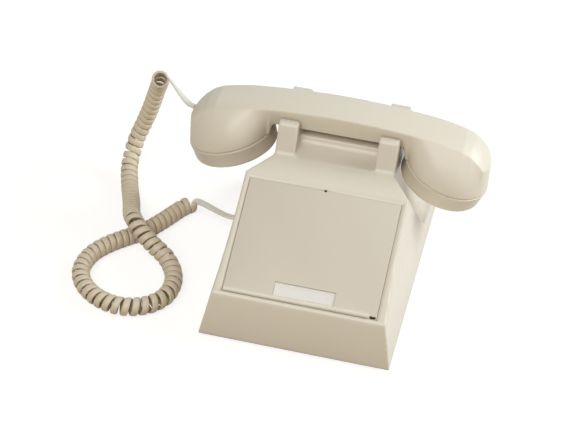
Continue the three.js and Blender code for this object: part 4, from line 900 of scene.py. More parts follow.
@dataclass
class CurlyCord:
    """A flat four-wire cord: a lead from the handset, curls that hang and lie, a lead to the base."""

    width: float = 5.25
    thickness: float = 2.4
    outer_radius: float = 7.1
    gap: float = 0.27
    steps: int = 24
    start_angle: float = math.radians(35)
    end_side: tuple[float, float, float] = (0.85, -0.3, 0.45)
    route: tuple[tuple[float, float, float], ...] = (
        (-154.4, 74.7, 100.5), (-155.4, 80.1, 96.1), (-157.4, 85.1, 90.4), (-160.1, 88.9, 82.2),
        (-163.4, 91, 71), (-167.5, 92.2, 57), (-172.7, 92.7, 42), (-177.3, 89.2, 29), (-179.1, 81.9, 18),
        (-178.1, 71.2, 12), (-173, 55, 7.8), (-163, 27, 11), (-154.5, 0.5, 19.5), (-148.5, -10, 22),
        (-141, -18, 20), (-130, -25, 15.5), (-118, -31, 10.5), (-109, -42, 7.6), (-104.5, -58, 7.5),
        (-107, -75, 7.5), (-117.5, -87.5, 7.5), (-134, -93.5, 7.5), (-152, -90, 7.5), (-168, -78, 7.5),
        (-176, -62, 7.5), (-174.5, -42, 7.5), (-166, -26, 7.5), (-154.5, -13, 7.5), (-144, -2, 7.5),
        (-134.5, 14, 7.5), (-127.5, 28, 7.5), (-122.8, 37, 7.5), (-118, 42.5, 7.9),
    )
    inner_share: float = 0.8
    length: float = 3.06
    lead_steps: int = 48
    knot_steps: int = 60
    line_steps: int = 1200
    bend_reach: int = 12
    top_pulls: tuple[float, float] = (4, 4)
    foot_pulls: tuple[float, float] = (12, 10)
    sides: int = 14
    roundness: tuple[float, float] = (0.72, 0.8)

    def middle_line(self) -> np.ndarray:
        """The curls' middle line, one smooth curve through the route's points.

        Returns:
            Evenly spaced points, in millimetres.
        """
        knots = np.array(self.route) + np.array([BASE_X, 0.0, 0.0])
        knots = np.vstack([2 * knots[0] - knots[1], knots, 2 * knots[-1] - knots[-2]])
        dense: list[np.ndarray] = []
        t = np.linspace(0, 1, self.knot_steps, endpoint=False)[:, None]
        t2, t3 = t**2, t**3
        for p0, p1, p2, p3 in zip(knots, knots[1:], knots[2:], knots[3:]):
            d0, d1, d2 = (max(np.linalg.norm(b - a), 1e-9) ** 0.5 for a, b in ((p0, p1), (p1, p2), (p2, p3)))
            m1 = ((p1 - p0) / d0 - (p2 - p0) / (d0 + d1) + (p2 - p1) / d1) * d1
            m2 = ((p2 - p1) / d1 - (p3 - p1) / (d1 + d2) + (p3 - p2) / d2) * d1
            leave = (2 * t3 - 3 * t2 + 1) * p1 + (t3 - 2 * t2 + t) * m1
            dense.append(leave + (3 * t2 - 2 * t3) * p2 + (t3 - t2) * m2)
        line = np.vstack([*dense, knots[-2:-1]])
        run = np.concatenate([[0], np.cumsum(np.linalg.norm(np.diff(line, axis=0), axis=1))])
        even = np.linspace(0, run[-1], self.line_steps + 1)
        return np.stack([np.interp(even, run, line[:, i]) for i in range(3)], axis=1)

    def curls(self) -> tuple[np.ndarray, np.ndarray]:
        """Winds the curls round the middle line, closer on the inside of a bend.

        Returns:
            Points along the wire, and the way out of the coil at each.
        """
        line = self.middle_line()
        along = unit(np.gradient(line, axis=0))
        across = np.zeros_like(line)
        held = np.array([0.0, 1.0, 0.0])
        for i, way in enumerate(along):
            held = unit(held - way * held.dot(way))
            across[i] = held
        side = np.cross(along, across)
        step = np.linalg.norm(line[1] - line[0])
        counts = [0.0]
        for i in range(1, len(line)):
            low, high = max(i - self.bend_reach, 0), min(i + self.bend_reach, len(line) - 1)
            turn = math.acos(float(np.clip(along[low].dot(along[high]), -1, 1)))
            bend = turn / ((high - low) * step)
            closeness = 1 - self.inner_share * self.outer_radius * bend
            counts.append(counts[-1] + step * closeness / (self.width + self.gap))
        end = np.array(self.end_side)
        last = math.atan2(end.dot(side[-1]), end.dot(across[-1]))
        first = (self.start_angle - last) / math.tau
        turns = first + math.floor(counts[-1] - first)
        total = round(turns * self.steps)
        wanted = np.linspace(0, counts[-1], total + 1)
        angle = (self.start_angle - np.linspace(0, turns, total + 1) * math.tau)[:, None]
        at, a, b = (
            np.stack([np.interp(wanted, counts, part[:, i]) for i in range(3)], axis=1)
            for part in (line, across, side)
        )
        out = unit(a * np.cos(angle) + b * np.sin(angle))
        return at + out * (self.outer_radius - self.thickness / 2), out

    def lead(
        self,
        start: np.ndarray,
        way: np.ndarray,
        end: np.ndarray,
        arrive: np.ndarray,
        pulls: tuple[float, float],
    ) -> np.ndarray:
        """A lead from a plug to one end of the curls.

        Args:
            start: where it leaves the plug.
            way: the direction that it leaves in.
            end: the first or last point of the curls.
            arrive: the wire's direction there, running on from the lead.
            pulls: how strongly each end keeps its direction, in millimetres.

        Returns:
            Its points, without the end.
        """
        straight = start + way * self.width
        p = [straight, straight + way * pulls[0], end - arrive * pulls[1], end]
        t = np.linspace(0, 1, self.lead_steps, endpoint=False)[:, None]
        u = 1 - t
        bow = u**3 * p[0] + 3 * u**2 * t * p[1] + 3 * u * t**2 * p[2] + t**3 * p[3]
        return np.vstack([start, bow])

    def turned_out(self, count: int, there: np.ndarray) -> np.ndarray:
        """Ways out along a lead, from flat in the plug to the curl's own.

        Args:
            count: how many points the lead has.
            there: the way out where the lead meets the curls.

        Returns:
            One way for each of its points.
        """
        share = np.array([smoothstep(i, 0, count - 1) for i in range(count)])[:, None]
        return (1 - share) * np.array([0.0, 0.0, 1.0]) + share * there

    def section(self) -> Outline:
        """The flat wire's section, (across, out), with well rounded corners.

        Returns:
            Its points.
        """
        power_u, power_v = self.roundness
        turns = [math.tau * i / self.sides for i in range(self.sides)]
        us = [signed_power(math.cos(a), power_u) * self.width / 2 for a in turns]
        vs = [signed_power(math.sin(a), power_v) * self.thickness / 2 for a in turns]
        return list(zip(us, vs))

    def build(self, upper: Outlet, lower: Outlet) -> Item:
        """Args:
            upper: outlet point and direction of the handset's plug.
            lower: outlet point and direction of the base's plug.

        Returns:
            The cord.
        """
        rings, outs = self.curls()
        top = self.lead(*upper, rings[0], unit(rings[1] - rings[0]), self.top_pulls)
        foot = self.lead(*lower, rings[-1], unit(rings[-2] - rings[-1]), self.foot_pulls)[::-1]
        points = np.vstack([top, rings, foot])
        top_ways, foot_ways = self.turned_out(len(top), outs[0]), self.turned_out(len(foot), outs[-1])
        ways = np.vstack([top_ways, outs, foot_ways[::-1]])
        along = unit(np.gradient(points, axis=0))
        ways = unit(ways - along * np.sum(ways * along, axis=1, keepdims=True))
        flat, section = np.cross(along, ways), self.section()
        rows = [[p + f * u + w * v for u, v in section] for p, f, w in zip(points, flat, ways)]
        obj = loft("curly_cord", rows)
        shade(obj, 60)
        JACKET.put_on(obj)
        obj.data.materials.append(LEAD.material())
        for face in obj.data.polygons:
            if not len(top) <= face.index // self.sides < len(top) + len(rings):
                face.material_index = 1
        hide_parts("handset_cord")
        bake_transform(obj)
        run = float(np.sum(np.linalg.norm(np.diff(points, axis=0), axis=1)))
        log.info("curly cord: %.0f mm of wire, %d rings", run, len(points))
        return obj


# ---------------------------------------------------------------------------
# Base
# ---------------------------------------------------------------------------


@dataclass
class Base:
    """The moulded housing with its blank faceplate, bead and feet."""

    half_width: float = 72.5
    half_length: float = 102.5
    wall: float = 3.0
    rim_z: float = 4.0
    lean_front: float = 0.205
    lean_rear: float = 0.0
    front_lean: float = 0.149
    rear_lean: float = 0.22
    lip_z: float = 41.0
    lip_round: float = 2.2
    slope: float = math.radians(31.5)
    face_depth: float = 83.0
    ledge_rise: float = 2.2
    ear_foot_y: float = 13.0
    ear_top_z: float = 118.0
    ear_inner_x: float = 31.0
    ear_outer_x: float = 46.4
    ear_lean: float = 8.5
    ear_round: float = 2.4
    ear_rear_y: float = 75.5
    ear_flare: float = 7.0
    cradle_gap: float = 13.8
    cradle_spread: float = 1.9
    cradle_floor_z: float = 108.1
    neck_z: float = 95.0
    bar_z: float = 104.0
    bar_front_y: float = 30.0
    bar_rear_y: float = 60.0
    grip_floor_z: float = 80.0
    grip_depth: float = 20.0
    shoulder_low_z: float = 31.0
    shoulder_rear_z: float = 23.0
    shoulder_curve: float = 1.15
    plate_half_width: float = 57.6
    plate_start: float = 1.0
    plate_length: float = 91.3
    plate_thickness: float = 1.9
    plate_seat: float = 5.0
    plate_bevel: float = 1.7
    plate_bevel_depth: float = 0.9
    bead_width: float = 3.4
    bead_height: float = 1.7
    notch_x: tuple[float, float] = (5.2, 0.6)
    notch_y: tuple[float, float] = (0.3, 2.3)
    release_radius: float = 1.1
    release_rise: float = 0.3
    card_middle: tuple[float, float] = (2.2, 10.4)
    card_half: tuple[float, float] = (22.8, 5.2)
    card_depth: float = 1.3
    jack_y: float = 28.0
    jack_z: float = 14.5
    jack_lean_rise: float = 5.5
    line_jack_x: float = 30.0
    plunger_x: float = 38.7
    plunger_slot: tuple[float, float] = (4.5, 7.5)
    boss_x: float = 61.0
    boss_y: tuple[float, float] = (-89.0, 86.0)
    boss_z: tuple[float, float] = (7.3, 24.0)
    boss_radius: float = 4.6
    boss_bore: float = 2.05
    boss_bore_top: float = 22.0
    web_half: float = 1.5
    foot_x: float = 54.0
    foot_ends: tuple[tuple[str, float], ...] = (("front", -74.0), ("rear", 78.0))
    foot_profile: tuple[tuple[float, float], ...] = (
        (0, 0.6), (4.4, 0.5), (5.0, 0.0), (5.9, 0.1), (6.6, 0.6), (7.0, 1.4), (7.0, 4.7), (6.6, 5.2),
        (2.6, 5.2), (2.6, 7.3), (3.9, 7.3), (3.7, 7.9), (2.6, 9.3), (0, 9.3),
    )

    def __post_init__(self) -> None:
        """Works out the corners that several shapes share."""
        self.foot_y = self.front_y(self.lip_z) + 2
        self.foot_z = self.lip_z + 1
        self.ledge_y = self.foot_y + self.face_depth
        self.ledge_z = self.foot_z + self.face_depth * math.tan(self.slope)

    def flank_x(self, y: float, z: float) -> float:
        """Half the housing's width at a depth and height."""
        lean = remap(y, -self.half_length, self.half_length, self.lean_front, self.lean_rear)
        return self.half_width - lean * (z - self.rim_z)

    def front_y(self, z: float) -> float:
        """Where the front face is at a height."""
        return -self.half_length + self.front_lean * (z - self.rim_z)

    def rear_y(self, z: float) -> float:
        """Where the rear wall is at a height."""
        return self.half_length - self.rear_lean * (z - self.rim_z)

    def side_outline(self) -> Outline:
        """The side view: front, slope, ledge, ears, cradle and rear.

        Steps of up to 3 mm round its corners.

        Returns:
            Its (y, z) points.
        """
        inner_front, inner_rear = CRADLE_Y - self.cradle_gap, CRADLE_Y + self.cradle_gap
        top_front, spread, r = self.ear_foot_y + self.ear_lean, self.cradle_spread, self.ear_round
        ledge = self.ledge_z + self.ledge_rise
        lip = self.lip_z
        return [
            (self.front_y(self.rim_z), self.rim_z),
            (self.front_y(lip - self.lip_round), lip - self.lip_round),
            (self.front_y(lip) + 0.5, lip + 0.1),
            (self.foot_y, self.foot_z),
            (self.ledge_y - 2, self.ledge_z - 2 * math.tan(self.slope)),
            (self.ledge_y, self.ledge_z - 0.4),
            (self.ledge_y + 3, self.ledge_z),
            (self.ear_foot_y - 1.5, ledge - 0.3),
            (self.ear_foot_y + 0.6, ledge + 1.2),
            (top_front - 0.9, self.ear_top_z - r),
            (top_front, self.ear_top_z - r / 3),
            (top_front + r, self.ear_top_z),
            (inner_front - spread - 1, self.ear_top_z),
            (inner_front - spread, self.ear_top_z - 1),
            (inner_front, self.cradle_floor_z),
            (inner_rear, self.cradle_floor_z),
            (inner_rear + spread, self.ear_top_z - 1),
            (inner_rear + spread + 1, self.ear_top_z),
            (self.ear_rear_y - r, self.ear_top_z),
            (self.ear_rear_y, self.ear_top_z - r),
            (self.ear_rear_y + self.ear_flare, self.neck_z),
            (self.rear_y(self.rim_z), self.rim_z),
        ]

    def inner_outline(self) -> Outline:
        """The hollow's side view, one wall in and open below.

        Returns:
            Its (y, z) points.
        """
        drop = self.wall / math.cos(self.slope)
        low, ceiling, lip = self.rim_z - REACH, self.bar_z - self.wall, self.lip_z - self.wall
        return [
            (self.front_y(low) + self.wall, low),
            (self.front_y(lip) + self.wall, lip),
            (self.ledge_y, self.ledge_z - drop),
            (self.ear_foot_y + self.wall, self.ledge_z + self.ledge_rise - drop),
            (self.ear_foot_y + self.ear_lean, ceiling),
            (self.ear_rear_y - self.wall, ceiling),
            (self.ear_rear_y + self.ear_flare - self.wall - 1, self.neck_z - self.wall),
            (self.rear_y(low) - self.wall, low),
        ]

    def flanks(self, inset: float) -> Item:
        """A solid between both flanks.

        Args:
            inset: how far inside them it stays.

        Returns:
            The solid.
        """
        levels = (self.rim_z - REACH, self.rim_z, 34, 64, 95, self.ear_top_z + REACH)
        rings = []
        for i in range(17):
            y = remap(i, 0, 16, -self.half_length - 1, self.half_length + 1)
            right = [(self.flank_x(y, z) - inset, y, z) for z in levels]
            rings.append(right + [(-x, at, z) for x, at, z in reversed(right)])
        return loft("flanks", rings)

    def shoulder_z(self, y: float) -> float:
        """Height of the shoulder edge under an ear piece.

        Args:
            y: how far back.

        Returns:
            Its height, in millimetres.
        """
        t = (y - self.ledge_y) / (CRADLE_Y - self.ledge_y)
        if t <= 1:
            rise = (1 - max(t, 0)) ** self.shoulder_curve
            return self.shoulder_low_z + (self.ledge_z - self.shoulder_low_z) * rise
        return remap(y, CRADLE_Y, self.half_length, self.shoulder_low_z, self.shoulder_rear_z)

    def neck_x(self, y: float) -> float:
        """Half the width between the scoops, above the shoulders.

        Args:
            y: how far back.

        Returns:
            The half width, in millimetres.
        """
        if y >= self.ear_foot_y:
            return self.ear_outer_x
        widest = self.flank_x(self.ledge_y, self.ledge_z)
        return remap(y, self.ledge_y, self.ear_foot_y, widest, self.ear_outer_x)

    def scoop(self, side: int, grow: float) -> Item:
        """What is hollowed out under one ear piece.

        Args:
            side: -1 for the left, 1 for the right.
            grow: how much larger it is than the outer surface.

        Returns:
            The solid to cut away.
        """
        ys = [lerp(self.ledge_y + 0.02, CRADLE_Y, i / 28) for i in range(29)]
        ys += [lerp(CRADLE_Y, self.half_length + 1, i / 8) for i in range(1, 9)]
        reach, top = self.half_width + REACH, self.ear_top_z + REACH
        rings = []
        for y in ys:
            low, inner = self.shoulder_z(y) - grow, self.neck_x(y) - grow
            outer = self.flank_x(y, self.shoulder_z(y))
            crest = max(self.neck_z, self.ledge_z) - grow * 0.5
            curve = quarter(16, lambda a: (
                outer - (outer - inner) * math.cos(a), crest - max(crest - low, 0.1) * math.sin(a)))
            outline = [(inner, top), *curve, (reach, low), (reach, top)]
            rings.append([(side * x, y, z) for x, z in outline])
        return loft("scoop", rings)

    def saddle(self, grow: float) -> Item:
        """The panel between the front ears, the space over the bar and the carrying recess.

        Args:
            grow: how much larger it is than the outer surface.

        Returns:
            The solid to cut away.
        """
        front_drop = self.bar_z - (self.ledge_z + self.ledge_rise)
        grip_drop = self.bar_z - self.grip_floor_z
        middle = self.bar_rear_y + self.grip_depth
        front = quarter(16, lambda a: (
            self.ear_foot_y + (self.bar_front_y - self.ear_foot_y + grow) * math.sin(a),
            self.bar_z - (front_drop + grow) * math.cos(a)))
        rear = quarter(16, lambda a: (
            middle - (self.grip_depth + grow) * math.cos(a), self.bar_z - (grip_drop + grow) * math.sin(a)))
        top, bar = self.ear_top_z + REACH, self.bar_z - 0.001
        ahead, behind = self.ear_foot_y - 4, self.half_length + 1
        outline = [
            (ahead, top), (ahead, self.ledge_z + self.ledge_rise - grow + 0.2), *front[:-1],
            (front[-1][0], bar), (rear[0][0], bar), *rear[1:],
            (behind, self.grip_floor_z - grow - 1), (behind, top),
        ]
        half = self.ear_inner_x + grow
        return prism_x("saddle", outline, -half, half)

    def on_slope(self, obj: Item) -> Item:
        """Carries a mesh from the sloping face's own frame, x across and y up it."""
        foot = Matrix.Translation((0, self.foot_y, self.foot_z))
        return place(obj, foot @ Matrix.Rotation(self.slope, 4, "X"))

    def face_pocket(self) -> list[Item]:
        """The pocket of the faceplate, the opening below it and its bevelled frame.

        Returns:
            The solids to cut away.
        """
        half, low = self.plate_half_width + SEAT_GAP, self.plate_start - SEAT_GAP
        high, depth = self.plate_start + self.plate_length + SEAT_GAP, self.plate_thickness + SEAT_GAP
        seat, wide, deep = self.plate_seat, self.plate_bevel, self.plate_bevel_depth
        pocket = block("pocket", (-half, low, -depth), (half, high, REACH))
        opening = block("opening", (-half + seat, low + seat, -REACH), (half - seat, high - seat, 1))
        rings = []
        for at, spread in ((-deep, 0.0), (deep, 2 * wide)):
            rings.append([
                (-half - spread, low, at), (half + spread, low, at),
                (half + spread, high + spread, at), (-half - spread, high + spread, at)])
        tools = (pocket, opening, loft("bevel", rings), self.release_hole(), self.notch())
        return [self.on_slope(tool) for tool in tools]

    def notch(self) -> Item:
        """The small dark notch beside the bead's right end.

        Returns:
            The solid to cut away.
        """
        (left, right), (low, high) = self.notch_x, self.notch_y
        x, y = self.plate_half_width, self.plate_start
        return block("notch", (x - left, y + low, -REACH), (x - right, y + high, 1))

    def release_hole(self) -> Item:
        """The small hole on the line between plate and frame."""
        hole = rod("release", self.release_radius, -6, 6, 24)
        return shift(hole, 0, self.plate_start + self.plate_length + self.release_rise)

    def at_base_jack(self) -> Matrix:
        """Where the handset cord's jack looks out of the left flank."""
        x = -self.flank_x(self.jack_y, self.jack_z + self.jack_lean_rise)
        return looking_out((x, self.jack_y, self.jack_z), -QUARTER_TURN)

    def at_line_jack(self) -> Matrix:
        """Where the line cord's jack looks out of the rear."""
        y = self.rear_y(self.jack_z + self.jack_lean_rise)
        return looking_out((self.line_jack_x, y, self.jack_z), math.pi)

    def boss(self, x: float, y: float) -> list[Item]:
        """A screw boss in a corner with its web to the flank.

        Args:
            x: its place across.
            y: its place along.

        Returns:
            The boss and the web, to be added.
        """
        low, top = self.boss_z
        wall = math.copysign(self.flank_x(y, top) - self.wall / 2, x)
        web = block("web", (min(x, wall), y - self.web_half, low), (max(x, wall), y + self.web_half, top))
        return [shift(rod("boss", self.boss_radius, low, top, 48), x, y), web]

    def slot(self, side: int) -> Item:
        """The space of one plunger in the bar between the ears.

        Args:
            side: -1 for the left, 1 for the right.

        Returns:
            The solid to cut away.
        """
        x, (half_x, half_y) = side * self.plunger_x, self.plunger_slot
        low = (x - half_x, CRADLE_Y - half_y, self.neck_z)
        return block("plunger_slot", low, (x + half_x, CRADLE_Y + half_y, self.ear_top_z))

    def housing(self) -> Item:
        """The moulded shell with all its openings.

        Returns:
            The housing.
        """
        shell = prism_x("housing_shell", self.side_outline(), -self.half_width - 5, self.half_width + 5)
        carve(shell, [self.flanks(0)], Cut.COMMON)
        carve(shell, [self.scoop(1, 0), self.scoop(-1, 0), self.saddle(0)])
        mould(shell, 1.0 if FINE else 1.8, 7 if FINE else 3)
        hollow = prism_x("hollow", self.inner_outline(), -self.half_width, self.half_width)
        carve(hollow, [self.flanks(self.wall)], Cut.COMMON)
        carve(hollow, [self.scoop(1, self.wall), self.scoop(-1, self.wall), self.saddle(self.wall)])
        carve(shell, [hollow])
        corners = [(side * self.boss_x, y) for side in SIDES for y in self.boss_y]
        carve(shell, [part for x, y in corners for part in self.boss(x, y)], Cut.ADD)
        bore = (self.boss_bore, 0, self.boss_bore_top, 32)
        carve(shell, [shift(rod("bore", *bore), x, y) for x, y in corners])
        carve(shell, self.face_pocket())
        carve(shell, [self.slot(side) for side in SIDES])
        carve(shell, [place(jack_space(), at) for at in (self.at_base_jack(), self.at_line_jack())])
        shift(shell, BASE_X)
        shade(shell, 32)
        SHELL.put_on(shell)
        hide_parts("housing")
        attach(shell, "base")
        return shell

    def faceplate(self) -> Item:
        """The blank plate with its notch, release hole and recess for the card.

        Returns:
            The faceplate.
        """
        half, low, high = self.plate_half_width, self.plate_start, self.plate_start + self.plate_length
        plate = block("blank_faceplate", (-half, low, -self.plate_thickness), (half, high, 0), 0.35)
        carve(plate, [self.release_hole(), self.notch()])
        (x, y), (half_x, half_y) = self.card_middle, self.card_half
        low_corner = (x - half_x, y - half_y, -self.card_depth)
        carve(plate, [block("card_recess", low_corner, (x + half_x, y + half_y, REACH))])
        shift(self.on_slope(plate), BASE_X)
        shade(plate, 32)
        PLATE.put_on(plate)
        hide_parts("faceplate")
        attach(plate, "base")
        return plate

    def bead(self) -> Item:
        """The rounded bead along the plate's lower edge, short of the notch.

        Returns:
            The bead.
        """
        half, middle = self.plate_half_width, self.plate_start + 0.15 + self.bead_width / 2
        left = [(-half + 0.3, 0.55), (-half + 0.8, 1.0)]
        right = [(half - 6.3, 1.0), (half - 5.7, 0.8), (half - 5.5, 0.35)]
        turns = [math.pi * i / 24 for i in range(25)]
        rings = []
        for x, scale in left + right:
            wide, high = self.bead_width / 2 * scale, self.bead_height * scale
            arc = [(x, middle - wide * math.cos(a), high * math.sin(a)) for a in turns]
            rings.append([(x, middle - wide, -0.6), *arc, (x, middle + wide, -0.6)])
        bead = self.on_slope(loft("lower_bead", rings))
        shift(bead, BASE_X)
        shade(bead, 40)
        SHELL.put_on(bead)
        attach(bead, "base")
        return bead

    def foot(self, name: str, x: float, y: float) -> Item:
        """One moulded rubber foot on its stem.

        Args:
            name: the frame node that it stands for.
            x: its place across, from the base's middle.
            y: its place along.

        Returns:
            The foot.
        """
        obj = shift(turned(f"{name}_pad", list(self.foot_profile), 64), x + BASE_X, y)
        shade(obj, 40)
        RUBBER.put_on(obj)
        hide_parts(name)
        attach(obj, "base")
        return obj

    def build(self) -> None:
        """Makes the base's pieces."""
        for make in (self.housing, self.faceplate, self.bead):
            piece = make()
            log.info("%s: %d faces", piece.name, len(piece.data.polygons))
        for end, y in self.foot_ends:
            for side, x in (("left", -self.foot_x), ("right", self.foot_x)):
                self.foot(f"foot_{end}_{side}", x, y)
        log.info("four feet")


# ---------------------------------------------------------------------------
# Handset
# ---------------------------------------------------------------------------


@dataclass
class Handset:
    """The arched handle with its two cups and screwed-on caps."""

    cup_x: float = 84.9
    radius: float = 34.0
    seam: float = 87.5
    tilt: float = math.radians(18)
    top_z: float = 126.9
    bottom_z: float = 108.4
    top_half: float = 16.4
    bottom_half: float = 13.0
    straight_x: float = 49.0
    arch: float = 555.0
    crown_drop: float = 1.4
    crown_drop_end: float = 4.2
    end_start: float = 70.0
    shoulder_x: float = 96.0
    end_face: tuple[tuple[float, float], ...] = (
        (103, 115.8), (109.5, 110.3), (114, 104.3), (117.3, 98),
    )
    handle_bulge: float = 1.6
    cup_bulge: float = 2.2
    bore: float = 28.5
    bore_top: tuple[float, float] = (16.0, 22.0)
    riser_radius: float = 4.3
    riser_z: float = 16.0
    wire_half: float = 4.5
    wire_z: tuple[float, float] = (111.0, 117.0)
    cap_height: float = 14.6
    cap_roll: float = 2.3
    cap_wall: float = 2.6
    spigot_height: float = 4.5
    spigot_wall: float = 2.0
    hole_step: float = 8.0
    hole_radius: float = 1.4
    jack_z: float = 92.0
    jack_turn: float = math.radians(22)
    plug_tail: float = 3.4

    def __post_init__(self) -> None:
        """Works out where the cups begin and end."""
        self.inner_x = self.cup_x - self.radius * math.cos(self.tilt)
        self.outer_x = self.cup_x + self.radius * math.cos(self.tilt)
        path = [(self.shoulder_x, self.arch_z(self.shoulder_x)), *self.end_face]
        self.end_x = [p[0] for p in path] + [self.outer_x + 1]
        self.end_z = [p[1] for p in path] + [self.end_face[-1][1] - 1]

    def arch_z(self, x: float) -> float:
        """Height of the arched top."""
        return self.top_z - x * x / (2 * self.arch)

    def seam_z(self, x: float) -> float:
        """Height of the seam plane between cup and cap."""
        return self.seam + (self.cup_x - abs(x)) * math.tan(self.tilt)

    def half_seam(self, x: float) -> float:
        """Half the cup's width at the seam."""
        return math.sqrt(max(0.0, self.radius**2 - ((abs(x) - self.cup_x) / math.cos(self.tilt)) ** 2))

    def crown_z(self, x: float) -> float:
        """Height of the ribbon's crown, which turns down over the ends."""
        out = abs(x)
        return self.arch_z(out) if out <= self.shoulder_x else float(np.interp(out, self.end_x, self.end_z))

    def under_z(self, x: float) -> float:
        """Height of the underside: flat in the middle, curving down into the cups.

        Args:
            x: the place along the handset.

        Returns:
            The height, in millimetres.
        """
        out = abs(x)
        if out <= self.straight_x:
            return self.bottom_z
        if out >= self.inner_x:
            return self.seam_z(out)
        t = (out - self.straight_x) / (self.inner_x - self.straight_x)
        fall = 1 - math.sqrt(max(0.0, 1 - t * t))
        return self.bottom_z - (self.bottom_z - self.seam_z(self.inner_x)) * fall

    def section(self, x: float) -> Outline:
        """The whole section at one place: crown, crease, side and underside.

        Args:
            x: the place along the handset.

        Returns:
            Its (offset from the middle, height) points.
        """
        out, low = abs(x), self.under_z(x)
        in_cup = out > self.inner_x
        seam_half = self.half_seam(out) if in_cup else 0.0
        rim = max(seam_half - 0.4, 0.6) if in_cup and out > self.cup_x else self.top_half
        crease = min(self.top_half, rim)
        crown = max(self.crown_z(x), low + 1)
        drop = lerp(self.crown_drop, self.crown_drop_end, smoothstep(out, self.end_start, self.outer_x))
        crease_z = max(crown - drop * (crease / self.top_half) ** 2, low + 0.6)
        foot = max(seam_half, self.bottom_half if out < self.cup_x else 1.8)
        swell = (foot - self.bottom_half) / (self.radius - self.bottom_half) if out < self.cup_x else 1.0
        half: Outline = []
        for i in range(6):
            u = i / 6
            half.append((crease * u, crown - (crown - crease_z) * u * u))
        half.append((crease, crease_z))
        count = 14
        for i in range(1, count + 1):
            t = i / count
            full = lerp(t**self.handle_bulge, 1 - (1 - t) ** self.cup_bulge, swell)
            half.append((lerp(crease, foot, full), lerp(crease_z, low, t)))
        half.append((0.0, low))
        return half + [(-u, v) for u, v in reversed(half[1:-1])]

    def stations(self) -> list[float]:
        """Places of the sections from end to end, close where the shape turns.

        Returns:
            Their x, in millimetres.
        """
        xs = list(np.linspace(0, self.straight_x, 9))
        run = self.inner_x - 0.05 - self.straight_x
        xs += [self.straight_x + run * math.sin(QUARTER_TURN * i / 14) for i in range(1, 15)]
        xs += [self.cup_x - (self.cup_x - self.inner_x) * math.cos(math.pi * i / 56) for i in range(1, 56)]
        xs.append(self.outer_x - 0.02)
        return [-x for x in reversed(xs[1:])] + xs

    def at_cup(self, side: int) -> Matrix:
        """From a cup's own frame, its axis along Z, to its place."""
        middle = Matrix.Translation((side * self.cup_x, CRADLE_Y, self.seam))
        return middle @ Matrix.Rotation(side * self.tilt, 4, "Y")

    def at_jack(self) -> Matrix:
        """Where the cord's jack looks out of the left cup.

        Returns:
            The jack's place, its mouth towards its own +Z.
        """
        turn = self.jack_turn
        out = self.cup_x + self.radius * math.cos(self.tilt) * math.cos(turn)
        at = (-out, CRADLE_Y + self.radius * math.sin(turn), self.jack_z)
        return looking_out(at, -QUARTER_TURN - turn)

    def shell(self) -> Item:
        """The handle and both cups in one moulding.

        Returns:
            The handset's shell.
        """
        rings = [[(x, u + CRADLE_Y, v) for u, v in self.section(x)] for x in self.stations()]
        shell = loft("handset_handle", rings)
        mould(shell, 0.7 if FINE else 1.5, 2)
        (neck, top), (wire_low, wire_high) = self.bore_top, self.wire_z
        inside = [(0, -REACH), (self.bore, -REACH), (self.bore, 5), (neck, top), (0, top)]
        reach = self.radius + 6
        for side in SIDES:
            riser = rod("riser", self.riser_radius, self.seam + self.riser_z, wire_high - 1, 32)
            shift(riser, side * self.cup_x, CRADLE_Y)
            carve(shell, [place(turned("cup_bore", inside, 96), self.at_cup(side)), riser])
            below = block("seam_plane", (-reach, -reach, -REACH), (reach, reach, 0))
            carve(shell, [place(below, self.at_cup(side))])
        low = (-self.cup_x, CRADLE_Y - self.wire_half, wire_low)
        carve(shell, [block("wire_way", low, (self.cup_x, CRADLE_Y + self.wire_half, wire_high))])
        carve(shell, [place(jack_space(), self.at_jack())])
        shade(shell, 32)
        HANDSET.put_on(shell)
        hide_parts("handset_shell")
        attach(shell, "handset")
        return shell

    def cap(self, side: int, rings: int, node: str) -> Item:
        """A screwed-on cap with a rolled edge and its ring of holes.

        Args:
            side: -1 for the left cup, 1 for the right.
            rings: how many rings of holes it has.
            node: the frame node that it stands for.

        Returns:
            The cap.
        """
        r, face, spigot = self.radius, -self.cap_height, self.bore - SEAT_GAP
        roll, lip, floor = self.cap_roll, self.spigot_height, face + self.cap_wall
        profile = [(0, face - 0.8), (r * 0.5, face - 0.6), (r * 0.82, face - 0.1)]
        for i in range(9):
            a = math.radians(-80 + 80 * i / 8)
            profile.append((r - 0.7 - roll + roll * math.cos(a), face + 0.35 + roll + roll * math.sin(a)))
        profile += [(r - 0.05, -2.4), (r + 0.25, -1.8), (r + 0.3, -1.1), (r + 0.1, -0.5)]
        inner = spigot - self.spigot_wall
        profile += [(r - 0.5, -SEAT_GAP), (spigot, -SEAT_GAP), (spigot, lip)]
        profile += [(inner, lip), (inner, floor), (0, floor)]
        cap = turned(f"{node}_turned", profile, 120)
        holes = [(0.0, 0.0)]
        for ring in range(1, rings + 1):
            out = ring * self.hole_step
            turns = [math.tau * i / (6 * ring) for i in range(6 * ring)]
            holes += [(out * math.cos(a), out * math.sin(a)) for a in turns]
        carve(cap, [shift(rod("sound_hole", self.hole_radius, -REACH, 0, 20), x, y) for x, y in holes])
        place(cap, self.at_cup(side))
        shade(cap, 32)
        HANDSET.put_on(cap)
        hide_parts(node)
        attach(cap, "handset")
        return cap

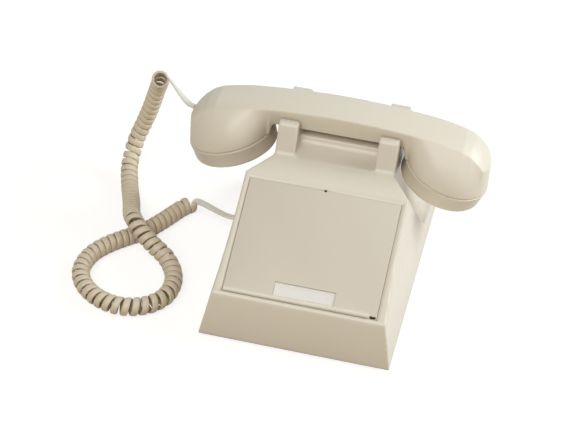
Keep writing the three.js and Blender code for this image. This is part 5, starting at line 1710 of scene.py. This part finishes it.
    def build(self) -> None:
        """Makes the handset's pieces."""
        for piece in (self.shell(), self.cap(-1, 2, "transmitter_cap"), self.cap(1, 1, "receiver_cap")):
            log.info("%s: %d faces", piece.name, len(piece.data.polygons))


# ---------------------------------------------------------------------------
# Nodes that keep their shape
# ---------------------------------------------------------------------------

KEPT: dict[str, Finish] = {
    "designation_card": CARD,
    "card_window": WINDOW,
    "base_plate": STEEL,
    "base_jack": BLACK,
    "line_jack": BLACK,
    "handset_jack": BLACK,
    "handset_plug": PLUG,
    "base_plug": PLUG,
    "plunger_left": IVORY,
    "plunger_right": IVORY,
    "hookswitch_lever": STEEL,
    "hookswitch_pin": STEEL,
    "hookswitch_bracket": STEEL,
    "hookswitch_contacts": BLACK,
    "ringer_frame": STEEL,
    "ringer_coil": BLACK,
    "gong_low": BRASS,
    "gong_high": BRASS,
    "gong_screw_low": STEEL,
    "gong_screw_high": STEEL,
    "clapper": STEEL,
    "network_block": BLACK,
    "volume_wheel": BLACK,
    "transmitter_unit": STEEL,
    "receiver_unit": STEEL,
    "transmitter_holder": BLACK,
    **{f"housing_screw_{end}_{side}": STEEL for end in ("front", "rear") for side in ("left", "right")},
}


def outlet(matrix: Matrix, tail: float) -> Outlet:
    """Where a cord leaves a plug, and its direction there.

    Args:
        matrix: the jack's place, its mouth towards its own +Z.
        tail: how far the plug stands out.

    Returns:
        The point and the unit direction, in millimetres.
    """
    point = matrix @ Vector((0, 0, tail + SEAT_GAP))
    way = (matrix.to_3x3() @ Vector((0, 0, 1))).normalized()
    return np.array(point), np.array(way)


def main() -> None:
    """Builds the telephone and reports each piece."""
    logging.basicConfig(level=logging.INFO, format="%(name)s: %(message)s")
    bpy.context.scene.view_settings.view_transform = "Standard"
    studio = Studio()
    studio.camera()
    base, handset = Base(), Handset()
    low = outlet(Matrix.Translation((BASE_X, 0, 0)) @ base.at_base_jack(), handset.plug_tail)
    CurlyCord().build(outlet(handset.at_jack(), handset.plug_tail), low)
    base.build()
    handset.build()
    for node, finish in KEPT.items():
        finish.put_on(frame["nodes"][node])
    log.info("%d frame nodes dressed", len(KEPT))
    studio.light()
    studio.floor()


if __name__ == "__main__":
    main()
